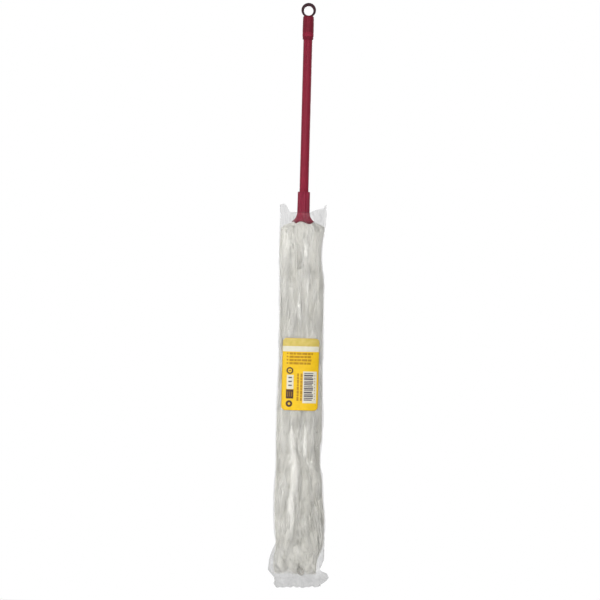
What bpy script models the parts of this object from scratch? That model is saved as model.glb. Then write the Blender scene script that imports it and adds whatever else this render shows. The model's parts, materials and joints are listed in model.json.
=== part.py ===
"""Long-handled fibre duster, hanging by its ring, with its head still in the clear film sleeve.

Metres, +Z up, front towards -Y. The origin is the centre of the hole that the duster hangs on.
The cap and collar sit on a steel tube. A bush in the tube's lower end holds the twisted wire core,
which carries the fibre pile in slices and ends in a loop. The film sleeve slides down off the head.
"""

import math

import bmesh
import bpy
import numpy as np
from mathutils import Matrix, Vector

# Clearances
FIT_GAP = 0.0003
MERGE_DISTANCE = 0.00001

# Handle tube
TUBE_DIAMETER = 0.0100
TUBE_WALL = 0.0005
TUBE_EDGE_ROUND = 0.00012

# Hanging cap
RING_DIAMETER = 0.0162
RING_THICKNESS = 0.0040
RING_EDGE_ROUND = 0.0006
HOLE_DIAMETER = 0.0110
HOLE_DROP = 0.0008
HOLE_BRIDGE = 0.0004
CAP_LENGTH = 0.0261
CAP_TOP_WALL = 0.0026
CAP_TOP_DIAMETER = 0.0121
CAP_BELLY_DIAMETER = 0.0125
CAP_LIP_DIAMETER = 0.0119
CAP_MOUTH_DIAMETER = 0.0113
CAP_EDGE_ROUND = 0.0004
CAP_GROOVE_DEPTH = 0.0003
CAP_GROOVE_WIDTH = 0.0008
CAP_BELLY_SHARE = 0.72
CAP_LIP_SHARE = 0.86
CAP_GROOVE_SHARE = 0.895

# Collar
HANDLE_LENGTH = 0.2010
COLLAR_LENGTH = 0.0355
COLLAR_TOP_DIAMETER = 0.0136
COLLAR_WAIST_DIAMETER = 0.0139
COLLAR_CHAMFER = 0.0007
COLLAR_SOCKET_DEPTH = 0.0200
COLLAR_LEDGE = 0.0012
COLLAR_SKIRT_WALL = 0.0011
FLARE_DIAMETER = 0.0246
FLARE_HEIGHT = 0.0140
FLARE_CURL_SHARE = 2.2
FLARE_OUTSIDE_SHARES = (0.25, 0.45, 0.65, 0.8, 0.92, 1.0)
FLARE_INSIDE_SHARES = (1.0, 0.8, 0.6, 0.4, 0.2)
FLUTE_COUNT = 14
FLUTE_DEPTH = 0.00045
LOBE_COUNT = 4
LOBE_HEIGHT = 0.0028
LOBE_TURN_SHARE = -0.028

# Wire core
WIRE_DIAMETER = 0.0020
WIRE_SELF_GAP = 0.0008
TWIST_PITCH = 0.0340
LOOP_WIDTH = 0.0090
LOOP_HEIGHT = 0.0100
LOOP_NECK = 0.0060
LOOP_NECK_SHARES = (0.3, 0.62, 0.88)
LOOP_OFFSET = 0.0024
BUSH_LENGTH = 0.0160
BUSH_TOP_CHAMFER = 0.0006
CORE_BOW = 0.0042

# Fibre pile
PILE_LENGTH = 0.3700
SLICE_COUNT = 8
BACKING_WALL = 0.0013
ROOT_STANDOFF = 0.0017
ROOT_DROP = 0.0014
ROOT_TOP_MARGIN = 0.0026
ROOT_FOOT_MARGIN = 0.0032
STRANDS_PER_SLICE = 38
STRAND_LENGTH = 0.0560
STRAND_WIDTH = 0.0022
STRAND_THICKNESS = 0.0010
STRAND_SINK = 0.0006
STRAND_SHORTEST_SHARE = 0.76
STRAND_BELLY_SHARE = 0.58
STRAND_ROOT_SHARE = 0.5
STRAND_EAGER_SHARE = 0.15
PILE_HALF_WIDTH = 0.0202
PILE_FOOT_DROP = 0.0245
PILE_FOOT_RAGGED = 0.0060
PILE_FOOT_TAPER = 0.0320
PILE_FOOT_SHARE = 0.55
LOOP_BELOW_PILE = 0.0100
SWIRL_SHARE = 0.05

# Film sleeve
SLEEVE_FILM = 0.0004
SLEEVE_HALF_WIDTH = 0.0255
SLEEVE_OVERLAP = 0.0215
SLEEVE_CORNER_RISE = 0.0090
SLEEVE_CORNER_SHARPNESS_SHARE = 5.0
LOOP_CLEARANCE = 0.0011
SEAL_TAPER = 0.0009
SEAL_THICKNESS = 0.0016
SEAL_WIDTH = 0.0125
HEAD_LEAN_SHARE = 0.0122

# Sticker on the sleeve
LABEL_WIDTH = 0.0402
LABEL_HEIGHT = 0.0800
LABEL_THICKNESS = 0.0003
LABEL_CORNER = 0.0055
LABEL_DROP = 0.1272
LABEL_SHIFT = -0.0008
LABEL_TURN_SHARE = 0.0122

# How finely round shapes are divided
ROUND_STEPS = 32
RING_STEPS = 40
BACKING_STEPS = 10
BUSH_STEPS = 24
FLUTE_STEPS = 4
SLEEVE_STEPS = 32
TWIST_STEPS = 8
SELF_GAP_STEPS = 4
SELF_GAP_DIAMETERS = 3
LABEL_COLUMNS = 12
LABEL_ROWS = 10
LABEL_CORNER_STEPS = 3

GOLDEN_TURN = math.pi * (3.0 - math.sqrt(5.0))
GOLDEN_SHARE = (math.sqrt(5.0) - 1.0) / 2.0

# Sleeve outline, read from the mouth down: share of its hollow's length, then the left edge, the
# right edge and the depth as shares of its half width and half depth.
SLEEVE_STATION_SHARES = [
    (0.000, 1.02, 1.02, 1.00),
    (0.031, 1.005, 1.015, 1.00),
    (0.064, 1.02, 0.96, 1.00),
    (0.108, 1.05, 0.855, 1.00),
    (0.143, 1.045, 0.865, 1.00),
    (0.181, 1.02, 0.945, 1.00),
    (0.253, 1.00, 0.96, 1.00),
    (0.351, 0.995, 0.96, 1.00),
    (0.448, 1.01, 0.965, 1.00),
    (0.522, 1.055, 0.98, 1.00),
    (0.594, 1.075, 0.99, 1.00),
    (0.632, 1.08, 0.97, 1.00),
    (0.690, 1.07, 0.905, 1.00),
    (0.728, 1.08, 1.00, 1.00),
    (0.787, 1.12, 1.045, 1.00),
    (0.851, 1.105, 1.14, 1.00),
    (0.885, 1.075, 1.13, 1.00),
    (0.909, 1.03, 1.12, 0.99),
    (0.935, 1.20, 1.115, 0.94),
    (0.952, 1.275, 1.13, 0.84),
    (0.971, 1.33, 1.02, 0.66),
    (0.983, 1.34, 0.955, 0.46),
    (1.000, 1.25, 1.02, 0.27),
]
# The welded bottom seam below those, as shares of the seam's width, then left and right as before.
SEAL_STATION_SHARES = [
    (0.00, 1.20, 1.10),
    (0.22, 1.08, 1.30),
    (0.40, 1.03, 1.27),
    (0.62, 1.07, 1.08),
    (1.00, 1.04, 1.00),
]

# Places that follow from the sizes
CAP_TOP = -HOLE_DIAMETER / 2 - HOLE_BRIDGE
TUBE_TOP = CAP_TOP - CAP_TOP_WALL - FIT_GAP
SOCKET_RADIUS = TUBE_DIAMETER / 2 + FIT_GAP
COLLAR_TOP = -HANDLE_LENGTH
SOCKET_FOOT = COLLAR_TOP - COLLAR_SOCKET_DEPTH
TUBE_FOOT = SOCKET_FOOT + FIT_GAP
LEDGE_FOOT = SOCKET_FOOT - COLLAR_LEDGE
COLLAR_FOOT = COLLAR_TOP - COLLAR_LENGTH
TWIST_RADIUS = (WIRE_DIAMETER + WIRE_SELF_GAP) / 2
CORE_RADIUS = TWIST_RADIUS + WIRE_DIAMETER / 2
BACKING_BORE = (CORE_RADIUS + FIT_GAP) / math.cos(math.pi / BACKING_STEPS)
BACKING_RADIUS = BACKING_BORE + BACKING_WALL
BUSH_BORE = (CORE_RADIUS + FIT_GAP) / math.cos(math.pi / BUSH_STEPS)
PILE_TOP = LEDGE_FOOT - FIT_GAP
BACKING_FOOT = PILE_TOP - PILE_LENGTH
PILE_FOOT = BACKING_FOOT - PILE_FOOT_DROP
LOOP_FOOT = PILE_FOOT - LOOP_BELOW_PILE
SLICE_HEIGHT = PILE_LENGTH / SLICE_COUNT
SLEEVE_HALF_DEPTH = FLARE_DIAMETER / 2 + FIT_GAP + SLEEVE_FILM
PILE_HALF_DEPTH = SLEEVE_HALF_DEPTH - SLEEVE_FILM - FIT_GAP
SLEEVE_TOP = COLLAR_FOOT + SLEEVE_OVERLAP
SLEEVE_MOUTH = SLEEVE_TOP - SLEEVE_CORNER_RISE
HOLLOW_FOOT = LOOP_FOOT - LOOP_CLEARANCE
SEAL_TOP = HOLLOW_FOOT - SEAL_TAPER


def head_lean(z):
    """How far the head and sleeve lie right of the handle's line at this height."""
    return HEAD_LEAN_SHARE * max(COLLAR_FOOT - z, 0)


def core_bow(z):
    """How far the wire core bows right of the sleeve's middle at this height."""
    down = min(max((COLLAR_FOOT - z) / (COLLAR_FOOT - LOOP_FOOT), 0), 1)
    return CORE_BOW * math.sin(math.pi * down) ** 2 + LOOP_OFFSET * down * down * (3 - 2 * down)


def core_x(z):
    """Where the wire core's own line runs at this height."""
    return head_lean(z) + core_bow(z)


def foot_squeeze(z):
    """Share of its depth that the pile keeps at this height, where the sleeve flattens at its foot."""
    share = min(max((PILE_FOOT + PILE_FOOT_TAPER - z) / PILE_FOOT_TAPER, 0), 1)
    return 1 - (1 - PILE_FOOT_SHARE) * share


def empty_scene():
    """Removes what the scene holds, so that only the duster is in it."""
    for thing in list(bpy.data.objects):
        bpy.data.objects.remove(thing)


def new_collection(name):
    """A collection of that name in the scene."""
    made = bpy.data.collections.new(name)
    bpy.context.scene.collection.children.link(made)
    return made


def finish_of(name, colour, roughness, metallic=0.0, alpha=1.0):
    """A Principled material with one colour."""
    made = bpy.data.materials.new(name)
    made.use_nodes = True
    shader = made.node_tree.nodes["Principled BSDF"]
    shader.inputs["Base Color"].default_value = (*colour, 1.0)
    shader.inputs["Roughness"].default_value = roughness
    shader.inputs["Metallic"].default_value = metallic
    shader.inputs["Alpha"].default_value = alpha
    return made


def add_object(name, data, collection):
    """Links an object with that data to the collection."""
    made = bpy.data.objects.new(name, data)
    collection.objects.link(made)
    return made


def mesh_of(name, points, faces=(), edges=()):
    """A mesh from points with edges or faces, whose faces point outwards."""
    mesh = bpy.data.meshes.new(name)
    mesh.from_pydata([tuple(point) for point in points], list(edges), list(faces))
    if faces:
        work = bmesh.new()
        work.from_mesh(mesh)
        bmesh.ops.recalc_face_normals(work, faces=work.faces)
        work.to_mesh(mesh)
        work.free()
    return mesh


def turned(name, profile, steps, collection):
    """A closed outline of (radius, height) points, outer side downwards first, turned about Z."""
    points = [(radius, 0, height) for radius, height in profile]
    edges = [(index, (index + 1) % len(points)) for index in range(len(points))]
    made = add_object(name, mesh_of(name, points, edges=edges), collection)
    screw = made.modifiers.new("turn", "SCREW")
    screw.steps = steps
    screw.render_steps = steps
    screw.use_merge_vertices = True
    screw.merge_threshold = MERGE_DISTANCE
    screw.use_smooth_shade = True
    return made


def settled(thing, weld=False):
    """The object with its modifiers, or its curve, turned into a plain mesh in the same place."""
    bpy.context.view_layer.update()
    graph = bpy.context.evaluated_depsgraph_get()
    mesh = bpy.data.meshes.new_from_object(thing.evaluated_get(graph))
    if weld:
        work = bmesh.new()
        work.from_mesh(mesh)
        bmesh.ops.remove_doubles(work, verts=work.verts, dist=MERGE_DISTANCE)
        work.to_mesh(mesh)
        work.free()
    name = thing.name
    place = thing.matrix_world.copy()
    collection = thing.users_collection[0]
    bpy.data.objects.remove(thing)
    made = add_object(name, mesh, collection)
    made.matrix_world = place
    return made


def combine(thing, other, operation):
    """Joins the other solid to this one, or cuts it away, and hides the other."""
    boolean = thing.modifiers.new(operation.lower(), "BOOLEAN")
    boolean.operation = operation
    boolean.solver = "EXACT"
    boolean.object = other
    other.hide_render = True
    other.display_type = "WIRE"


def ring_faces(first, second, count):
    """Quads between two rings of points, given where each starts."""
    return [
        (first + i, first + (i + 1) % count, second + (i + 1) % count, second + i)
        for i in range(count)
    ]


def arc_outline(centre_z, radius, steps):
    """Points of a circle in the XZ plane."""
    turns = [2 * math.pi * step / steps for step in range(steps)]
    return [(radius * math.cos(turn), centre_z + radius * math.sin(turn)) for turn in turns]


def flat_plate(name, outlines, thickness, edge_round, collection):
    """Outlines in the XZ plane, the later ones holes, as a plate centred on Y with rounded edges."""
    curve = bpy.data.curves.new(name, "CURVE")
    curve.dimensions = "2D"
    curve.fill_mode = "BOTH"
    curve.extrude = thickness / 2 - edge_round
    curve.bevel_depth = edge_round
    curve.offset = -edge_round
    curve.bevel_resolution = 1
    for outline in outlines:
        spline = curve.splines.new("POLY")
        spline.points.add(len(outline) - 1)
        for point, (x, z) in zip(spline.points, outline):
            point.co = (x, z, 0, 1)
        spline.use_cyclic_u = True
    made = add_object(name, curve, collection)
    made.rotation_euler = (math.pi / 2, 0, 0)
    return settled(made, weld=True)


def make_hang_cap(parts, cutters):
    """Moulded cap: a flat hanging ring on a tapered sleeve that goes over the tube's top end."""
    belly = CAP_TOP - CAP_LENGTH * CAP_BELLY_SHARE
    lip = CAP_TOP - CAP_LENGTH * CAP_LIP_SHARE
    groove = CAP_TOP - CAP_LENGTH * CAP_GROOVE_SHARE
    foot = CAP_TOP - CAP_LENGTH
    lip_radius = CAP_LIP_DIAMETER / 2
    profile = [
        (0, CAP_TOP),
        (CAP_TOP_DIAMETER / 2 - CAP_EDGE_ROUND, CAP_TOP),
        (CAP_TOP_DIAMETER / 2, CAP_TOP - CAP_EDGE_ROUND),
        (CAP_BELLY_DIAMETER / 2, belly),
        (lip_radius, lip),
        (lip_radius - CAP_GROOVE_DEPTH, groove),
        (lip_radius, groove - CAP_GROOVE_WIDTH),
        (CAP_MOUTH_DIAMETER / 2, foot),
        (SOCKET_RADIUS, foot),
        (SOCKET_RADIUS, CAP_TOP - CAP_TOP_WALL),
        (0, CAP_TOP - CAP_TOP_WALL),
    ]
    ring_centre = HOLE_DROP
    outlines = [
        arc_outline(ring_centre, RING_DIAMETER / 2, RING_STEPS),
        arc_outline(0, HOLE_DIAMETER / 2, RING_STEPS),
    ]
    ring = flat_plate("hang_ring", outlines, RING_THICKNESS, RING_EDGE_ROUND, cutters)
    cap = turned("hang_cap", profile, ROUND_STEPS, parts)
    combine(cap, ring, "UNION")
    return cap


def make_handle_tube(parts):
    """Thin steel tube with eased ends."""
    outer = TUBE_DIAMETER / 2
    inner = outer - TUBE_WALL
    profile = [
        (outer - TUBE_EDGE_ROUND, TUBE_TOP),
        (outer, TUBE_TOP - TUBE_EDGE_ROUND),
        (outer, TUBE_FOOT + TUBE_EDGE_ROUND),
        (outer - TUBE_EDGE_ROUND, TUBE_FOOT),
        (inner, TUBE_FOOT),
        (inner, TUBE_TOP),
    ]
    return turned("handle_tube", profile, ROUND_STEPS, parts)


def collar_flute(turn):
    """How deep the flute is at this angle, from zero on a rib to one in a flute's middle."""
    return 0.5 - 0.5 * math.cos(FLUTE_COUNT * turn)


def collar_outside(down, turn):
    """Outer radius of the collar at a distance below its top."""
    chamfer = max(COLLAR_CHAMFER - down, 0)
    straight = COLLAR_LENGTH - FLARE_HEIGHT
    along = min(down / straight, 1)
    barrel = COLLAR_TOP_DIAMETER + (COLLAR_WAIST_DIAMETER - COLLAR_TOP_DIAMETER) * along
    spread = max(down - straight, 0) / FLARE_HEIGHT
    flare = (FLARE_DIAMETER - COLLAR_WAIST_DIAMETER) / 2 * spread**FLARE_CURL_SHARE
    flute = FLUTE_DEPTH * collar_flute(turn) * (1 - spread)
    return barrel / 2 - chamfer - flute + flare


def make_collar(parts):
    """Moulded collar: a fluted socket on the tube's lower end and a skirt with a waved rim."""
    count = FLUTE_COUNT * FLUTE_STEPS
    turns = [2 * math.pi * step / count for step in range(count)]
    straight = COLLAR_LENGTH - FLARE_HEIGHT
    downs = [0, COLLAR_CHAMFER, straight / 2, straight]
    downs += [straight + FLARE_HEIGHT * share for share in FLARE_OUTSIDE_SHARES]
    rings = []
    for down in downs:
        rings.append([(collar_outside(down, turn), down) for turn in turns])
    ledge_down = COLLAR_TOP - LEDGE_FOOT
    inner_downs = [straight + FLARE_HEIGHT * share for share in FLARE_INSIDE_SHARES]
    for down in inner_downs + [ledge_down]:
        rings.append([(collar_outside(down, 0) - COLLAR_SKIRT_WALL, down)] * count)
    rings.append([(BACKING_RADIUS, ledge_down)] * count)
    rings.append([(BACKING_RADIUS, COLLAR_SOCKET_DEPTH)] * count)
    rings.append([(SOCKET_RADIUS, COLLAR_SOCKET_DEPTH)] * count)
    rings.append([(SOCKET_RADIUS, 0)] * count)
    points = []
    for ring in rings:
        for turn, (radius, down) in zip(turns, ring):
            spread = max(down - straight, 0) / FLARE_HEIGHT
            from_notch = turn + math.pi / 2 - math.tau * LOBE_TURN_SHARE
            lobe = 0.5 + 0.5 * math.cos(LOBE_COUNT * from_notch)
            lift = LOBE_HEIGHT * lobe * spread * spread
            points.append((radius * math.cos(turn), radius * math.sin(turn), COLLAR_TOP - down + lift))
    faces = []
    for index in range(len(rings)):
        following = (index + 1) % len(rings)
        faces += ring_faces(index * count, following * count, count)
    return add_object("collar", mesh_of("collar", points, faces), parts)


def make_core_bush(parts):
    """Plug in the tube's lower end that grips the wire core's two ends."""
    outer = TUBE_DIAMETER / 2 - TUBE_WALL - FIT_GAP
    foot = SOCKET_FOOT + FIT_GAP
    top = foot + BUSH_LENGTH
    profile = [
        (outer - BUSH_TOP_CHAMFER, top),
        (outer, top - BUSH_TOP_CHAMFER),
        (outer, foot),
        (BUSH_BORE, foot),
        (BUSH_BORE, top),
    ]
    return turned("core_bush", profile, BUSH_STEPS, parts)


def core_route():
    """Points of the one wire: down one twisted leg, round the loop at the tip and back up."""
    top = SOCKET_FOOT + BUSH_LENGTH
    neck = LOOP_FOOT + LOOP_HEIGHT + LOOP_NECK
    steps = round((top - neck) / TWIST_PITCH * TWIST_STEPS)
    last_turn = math.tau * (top - neck) / TWIST_PITCH
    leg = []
    for step in range(steps + 1):
        share = step / steps
        turn = last_turn * (share - 1)
        z = top + (neck - top) * share
        leg.append((TWIST_RADIUS * math.cos(turn), TWIST_RADIUS * math.sin(turn), z))
    half_width = LOOP_WIDTH / 2 - WIRE_DIAMETER / 2
    half_height = LOOP_HEIGHT / 2
    centre = LOOP_FOOT + half_height
    loop = []
    for share in LOOP_NECK_SHARES:
        radius = TWIST_RADIUS + (half_width - TWIST_RADIUS) * math.sin(share * math.pi / 2) ** 2
        loop.append((radius, 0, neck + (centre - neck) * share))
    back = [(-x, -y, z) for x, y, z in reversed(loop)]
    for step in range(TWIST_STEPS + 1):
        turn = math.pi * step / TWIST_STEPS
        drop = half_height - WIRE_DIAMETER / 2
        loop.append((half_width * math.cos(turn), 0, centre - drop * math.sin(turn)))
    other = [(-x, -y, z) for x, y, z in reversed(leg)]
    route = leg + loop + back + other
    return [Vector((x + core_x(z), y, z)) for x, y, z in route]


def least_self_gap(route, diameter):
    """Least gap of a tube to itself, measured between points that lie well apart along it."""
    fine = []
    for start, end in zip(route, route[1:]):
        fine += [start.lerp(end, step / SELF_GAP_STEPS) for step in range(SELF_GAP_STEPS)]
    places = np.array(fine)
    steps = np.linalg.norm(np.diff(places, axis=0), axis=1)
    along = np.concatenate([[0], np.cumsum(steps)])
    apart = np.linalg.norm(places[:, None] - places[None], axis=2)
    far = np.abs(along[:, None] - along[None]) > SELF_GAP_DIAMETERS * diameter
    return float(apart[far].min()) - diameter


def make_core_wire(parts):
    """Twisted wire core with the loop at its tip, one unbroken wire."""
    route = core_route()
    curve = bpy.data.curves.new("core_wire", "CURVE")
    curve.dimensions = "3D"
    curve.bevel_depth = WIRE_DIAMETER / 2
    curve.bevel_resolution = 1
    curve.use_fill_caps = True
    spline = curve.splines.new("POLY")
    spline.points.add(len(route) - 1)
    for point, place in zip(spline.points, route):
        point.co = (*place, 1)
    print(f"core_wire least gap to itself {least_self_gap(route, WIRE_DIAMETER):.6f} m")
    return add_object("core_wire", curve, parts)


def strand_reach(below):
    """Share of the way out that a strand has gone at a distance below its root."""
    share = max(below - ROOT_DROP, 0) / STRAND_LENGTH
    return share * (1 + STRAND_EAGER_SHARE - STRAND_EAGER_SHARE * share)


def strand_place(turn, root, below):
    """A strand's centre line: out of the backing, then down and outwards as one of nested cones."""
    z = root - below
    rising = min(below / ROOT_DROP, 1)
    start = BACKING_RADIUS - STRAND_SINK + (ROOT_STANDOFF + STRAND_SINK) * rising
    reach = strand_reach(below)
    angle = turn + math.tau * SWIRL_SHARE * reach
    wide = PILE_HALF_WIDTH - STRAND_THICKNESS
    deep = PILE_HALF_DEPTH - STRAND_THICKNESS
    rim = wide * deep / math.hypot(deep * math.cos(angle), wide * math.sin(angle))
    radius = start + (rim - start) * reach
    centre = head_lean(z) + core_bow(root) * (1 - reach)
    deep_place = radius * math.sin(angle) * foot_squeeze(z)
    return Vector((centre + radius * math.cos(angle), deep_place, z))


def strand_rings(turn, root, length):
    """Rings of three points along a strand, and its tip."""
    belly = length * STRAND_BELLY_SHARE
    stations = [(0, STRAND_ROOT_SHARE), (ROOT_DROP, STRAND_ROOT_SHARE), (belly, length / STRAND_LENGTH)]
    rings = []
    for below, share in stations:
        here = strand_place(turn, root, below)
        ahead = strand_place(turn, root, below + ROOT_DROP / 2) - here
        outward = Vector((here.x - core_x(here.z), here.y, 0)).normalized()
        side = ahead.cross(outward).normalized()
        up = side.cross(ahead).normalized()
        half_width = side * (STRAND_WIDTH * share / 2)
        half_thickness = up * (STRAND_THICKNESS * share / 2)
        rings.append([here + half_width, here + half_thickness, here - half_width])
    return rings, strand_place(turn, root, length)


def make_pile_slice(number, parts, cutters):
    """One slice of the pile: a backing round the wire core with its strands fused to it."""
    name = f"pile_{number + 1}"
    top = PILE_TOP - SLICE_HEIGHT * number
    foot = top - SLICE_HEIGHT + FIT_GAP
    profile = [
        (BACKING_RADIUS, top),
        (BACKING_RADIUS, foot),
        (BACKING_BORE, foot),
        (BACKING_BORE, top),
    ]
    backing = settled(turned(name, profile, BACKING_STEPS, parts))
    for vertex in backing.data.vertices:
        vertex.co.x += core_x(vertex.co.z)
    first_root = top - ROOT_TOP_MARGIN
    root_span = SLICE_HEIGHT - FIT_GAP - ROOT_TOP_MARGIN - ROOT_FOOT_MARGIN
    points = []
    faces = []
    for index in range(STRANDS_PER_SLICE):
        order = number * STRANDS_PER_SLICE + index
        root = first_root - root_span * index / (STRANDS_PER_SLICE - 1)
        chance = (order * GOLDEN_SHARE) % 1
        length = STRAND_LENGTH * (STRAND_SHORTEST_SHARE + (1 - STRAND_SHORTEST_SHARE) * chance)
        length = min(length, root - PILE_FOOT - PILE_FOOT_RAGGED * chance)
        rings, tip = strand_rings(order * GOLDEN_TURN, root, length)
        start = len(points)
        for ring in rings:
            points += ring
        points.append(tip)
        faces.append((start, start + 1, start + 2))
        for index_ring in range(len(rings) - 1):
            faces += ring_faces(start + 3 * index_ring, start + 3 * index_ring + 3, 3)
        last = start + 3 * (len(rings) - 1)
        faces += [(last + side, last + (side + 1) % 3, len(points) - 1) for side in range(3)]
    strands = add_object(f"{name}_strands", mesh_of(f"{name}_strands", points, faces), cutters)
    combine(backing, strands, "UNION")
    return backing


def sleeve_stations():
    """Heights with the sleeve's left edge, right edge and half depth there, from the mouth down."""
    stations = []
    for down, left, right, depth in SLEEVE_STATION_SHARES:
        z = SLEEVE_MOUTH + (HOLLOW_FOOT - SLEEVE_MOUTH) * down
        stations.append((z, left, right, SLEEVE_HALF_DEPTH * depth))
    for down, left, right in SEAL_STATION_SHARES:
        stations.append((SEAL_TOP - SEAL_WIDTH * down, left, right, SEAL_THICKNESS / 2))
    return [
        (z, SLEEVE_HALF_WIDTH * left, SLEEVE_HALF_WIDTH * right, depth)
        for z, left, right, depth in stations
    ]


def sleeve_section(station, inset):
    """A closed section of the sleeve: two half ellipses that meet at the front and the back."""
    z, left, right, depth = station
    section = []
    for step in range(SLEEVE_STEPS):
        turn = math.tau * step / SLEEVE_STEPS
        half_width = (right if math.cos(turn) > 0 else left) - inset
        x = half_width * math.cos(turn) + head_lean(z)
        section.append(Vector((x, (depth - inset) * math.sin(turn), z)))
    return section


def make_sleeve_bag(parts, slide):
    """Clear film sleeve: open at the mouth, with its corners standing up, and welded at the foot."""
    stations = sleeve_stations()
    walled = len(SLEEVE_STATION_SHARES)
    outer = [sleeve_section(station, 0) for station in stations]
    inner = [sleeve_section(station, SLEEVE_FILM) for station in stations[:walled]]
    for sections in (outer, inner):
        for step, point in enumerate(sections[0]):
            side = abs(math.cos(math.tau * step / SLEEVE_STEPS))
            point.z += SLEEVE_CORNER_RISE * side**SLEEVE_CORNER_SHARPNESS_SHARE
    rings = list(reversed(outer)) + inner
    points = [point for ring in rings for point in ring]
    count = SLEEVE_STEPS
    faces = [tuple(range(count)), tuple(range(len(points) - count, len(points)))]
    for index in range(len(rings) - 1):
        faces += ring_faces(index * count, (index + 1) * count, count)
    sleeve = add_object("sleeve_bag", mesh_of("sleeve_bag", points, faces), parts)
    return hung_on(sleeve, slide)


def sleeve_front(x, z, proud):
    """The point of the sleeve's front at that place, moved out of it by a small distance."""
    stations = sleeve_stations()
    above = max(index for index, station in enumerate(stations) if station[0] >= z)
    upper = stations[above]
    lower = stations[above + 1]
    share = (upper[0] - z) / (upper[0] - lower[0])
    left, right, depth = (a + (b - a) * share for a, b in zip(upper[1:], lower[1:]))
    across = x / (right if x > 0 else left)
    face = math.sqrt(1 - across * across)
    slope = Vector((across / (right if x > 0 else left), -face / depth, 0)).normalized()
    return Vector((x + head_lean(z), -depth * face, z)) + slope * proud


def label_rows():
    """Distances down the sticker with the half width there, closer together at its round corners."""
    rows = []
    for step in range(LABEL_CORNER_STEPS + 1):
        turn = math.pi / 2 * step / LABEL_CORNER_STEPS
        down = LABEL_CORNER * (1 - math.cos(turn))
        rows.append((down, LABEL_WIDTH / 2 - LABEL_CORNER * (1 - math.sin(turn))))
    straight = LABEL_HEIGHT - 2 * LABEL_CORNER
    middle = [
        (LABEL_CORNER + straight * step / LABEL_ROWS, LABEL_WIDTH / 2)
        for step in range(1, LABEL_ROWS)
    ]
    ends = [(LABEL_HEIGHT - down, half_width) for down, half_width in reversed(rows)]
    return rows + middle + ends


def make_label(parts, slide):
    """Sticker with round corners that lies on the sleeve's front, turned a little to hang plumb."""
    top = COLLAR_FOOT - LABEL_DROP
    columns = LABEL_COLUMNS + 1
    proud = FIT_GAP + LABEL_THICKNESS
    points = []
    for down, half_width in label_rows():
        centre = LABEL_SHIFT - LABEL_TURN_SHARE * (down - LABEL_HEIGHT / 2)
        for column in range(columns):
            x = centre + half_width * (2 * column / LABEL_COLUMNS - 1)
            points.append(sleeve_front(x, top - down, proud))
    faces = []
    for row in range(len(label_rows()) - 1):
        for column in range(LABEL_COLUMNS):
            corner = row * columns + column
            faces.append((corner, corner + columns, corner + columns + 1, corner + 1))
    mesh = bpy.data.meshes.new("label")
    mesh.from_pydata([tuple(point) for point in points], [], faces)
    label = add_object("label", mesh, parts)
    shell = label.modifiers.new("thickness", "SOLIDIFY")
    shell.thickness = LABEL_THICKNESS
    shell.offset = -1
    return hung_on(label, slide)


def hung_on(thing, empty):
    """Parents the object to the empty without moving it."""
    thing.data.transform(Matrix.Translation(-empty.location))
    thing.parent = empty
    return thing


def main():
    """Builds the duster, one object for each piece."""
    empty_scene()
    parts = new_collection("fibre_duster")
    cutters = new_collection("cutters")
    slide = add_object("sleeve_slide", None, parts)
    slide.location = (0, 0, SLEEVE_MOUTH)

    cap_plastic = finish_of("cap_plastic", (0.19, 0.022, 0.035), 0.45)
    lacquer = finish_of("red_lacquer", (0.28, 0.035, 0.052), 0.35)
    collar_plastic = finish_of("collar_plastic", (0.30, 0.040, 0.065), 0.40)
    bush_plastic = finish_of("bush_plastic", (0.70, 0.70, 0.68), 0.50)
    steel = finish_of("galvanised_wire", (0.45, 0.43, 0.40), 0.40, metallic=1.0)
    fibre = finish_of("white_fibre", (0.78, 0.76, 0.70), 0.90)
    film = finish_of("clear_film", (0.88, 0.88, 0.87), 0.25, alpha=0.4)
    sticker = finish_of("sticker_paper", (0.95, 0.55, 0.02), 0.50)

    made = [
        (make_hang_cap(parts, cutters), cap_plastic),
        (make_handle_tube(parts), lacquer),
        (make_collar(parts), collar_plastic),
        (make_core_bush(parts), bush_plastic),
        (make_core_wire(parts), steel),
        (make_sleeve_bag(parts, slide), film),
        (make_label(parts, slide), sticker),
    ]
    made += [(make_pile_slice(number, parts, cutters), fibre) for number in range(SLICE_COUNT)]
    for piece, finish in made:
        piece.data.materials.clear()
        piece.data.materials.append(finish)


main()
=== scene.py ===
"""Looks of a long-handled fibre duster that hangs in its clear film sleeve.

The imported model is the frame: metres, origin in the hanging hole, front towards -Y and +Z up. Every
piece rides on the duster or on the sleeve, which slides down off the head.
"""

import json
import logging
import math
from collections.abc import Sequence
from dataclasses import dataclass, field
from enum import Enum, IntEnum

import bmesh
import bpy
import numpy as np
from mathutils import Euler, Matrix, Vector, noise


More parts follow.
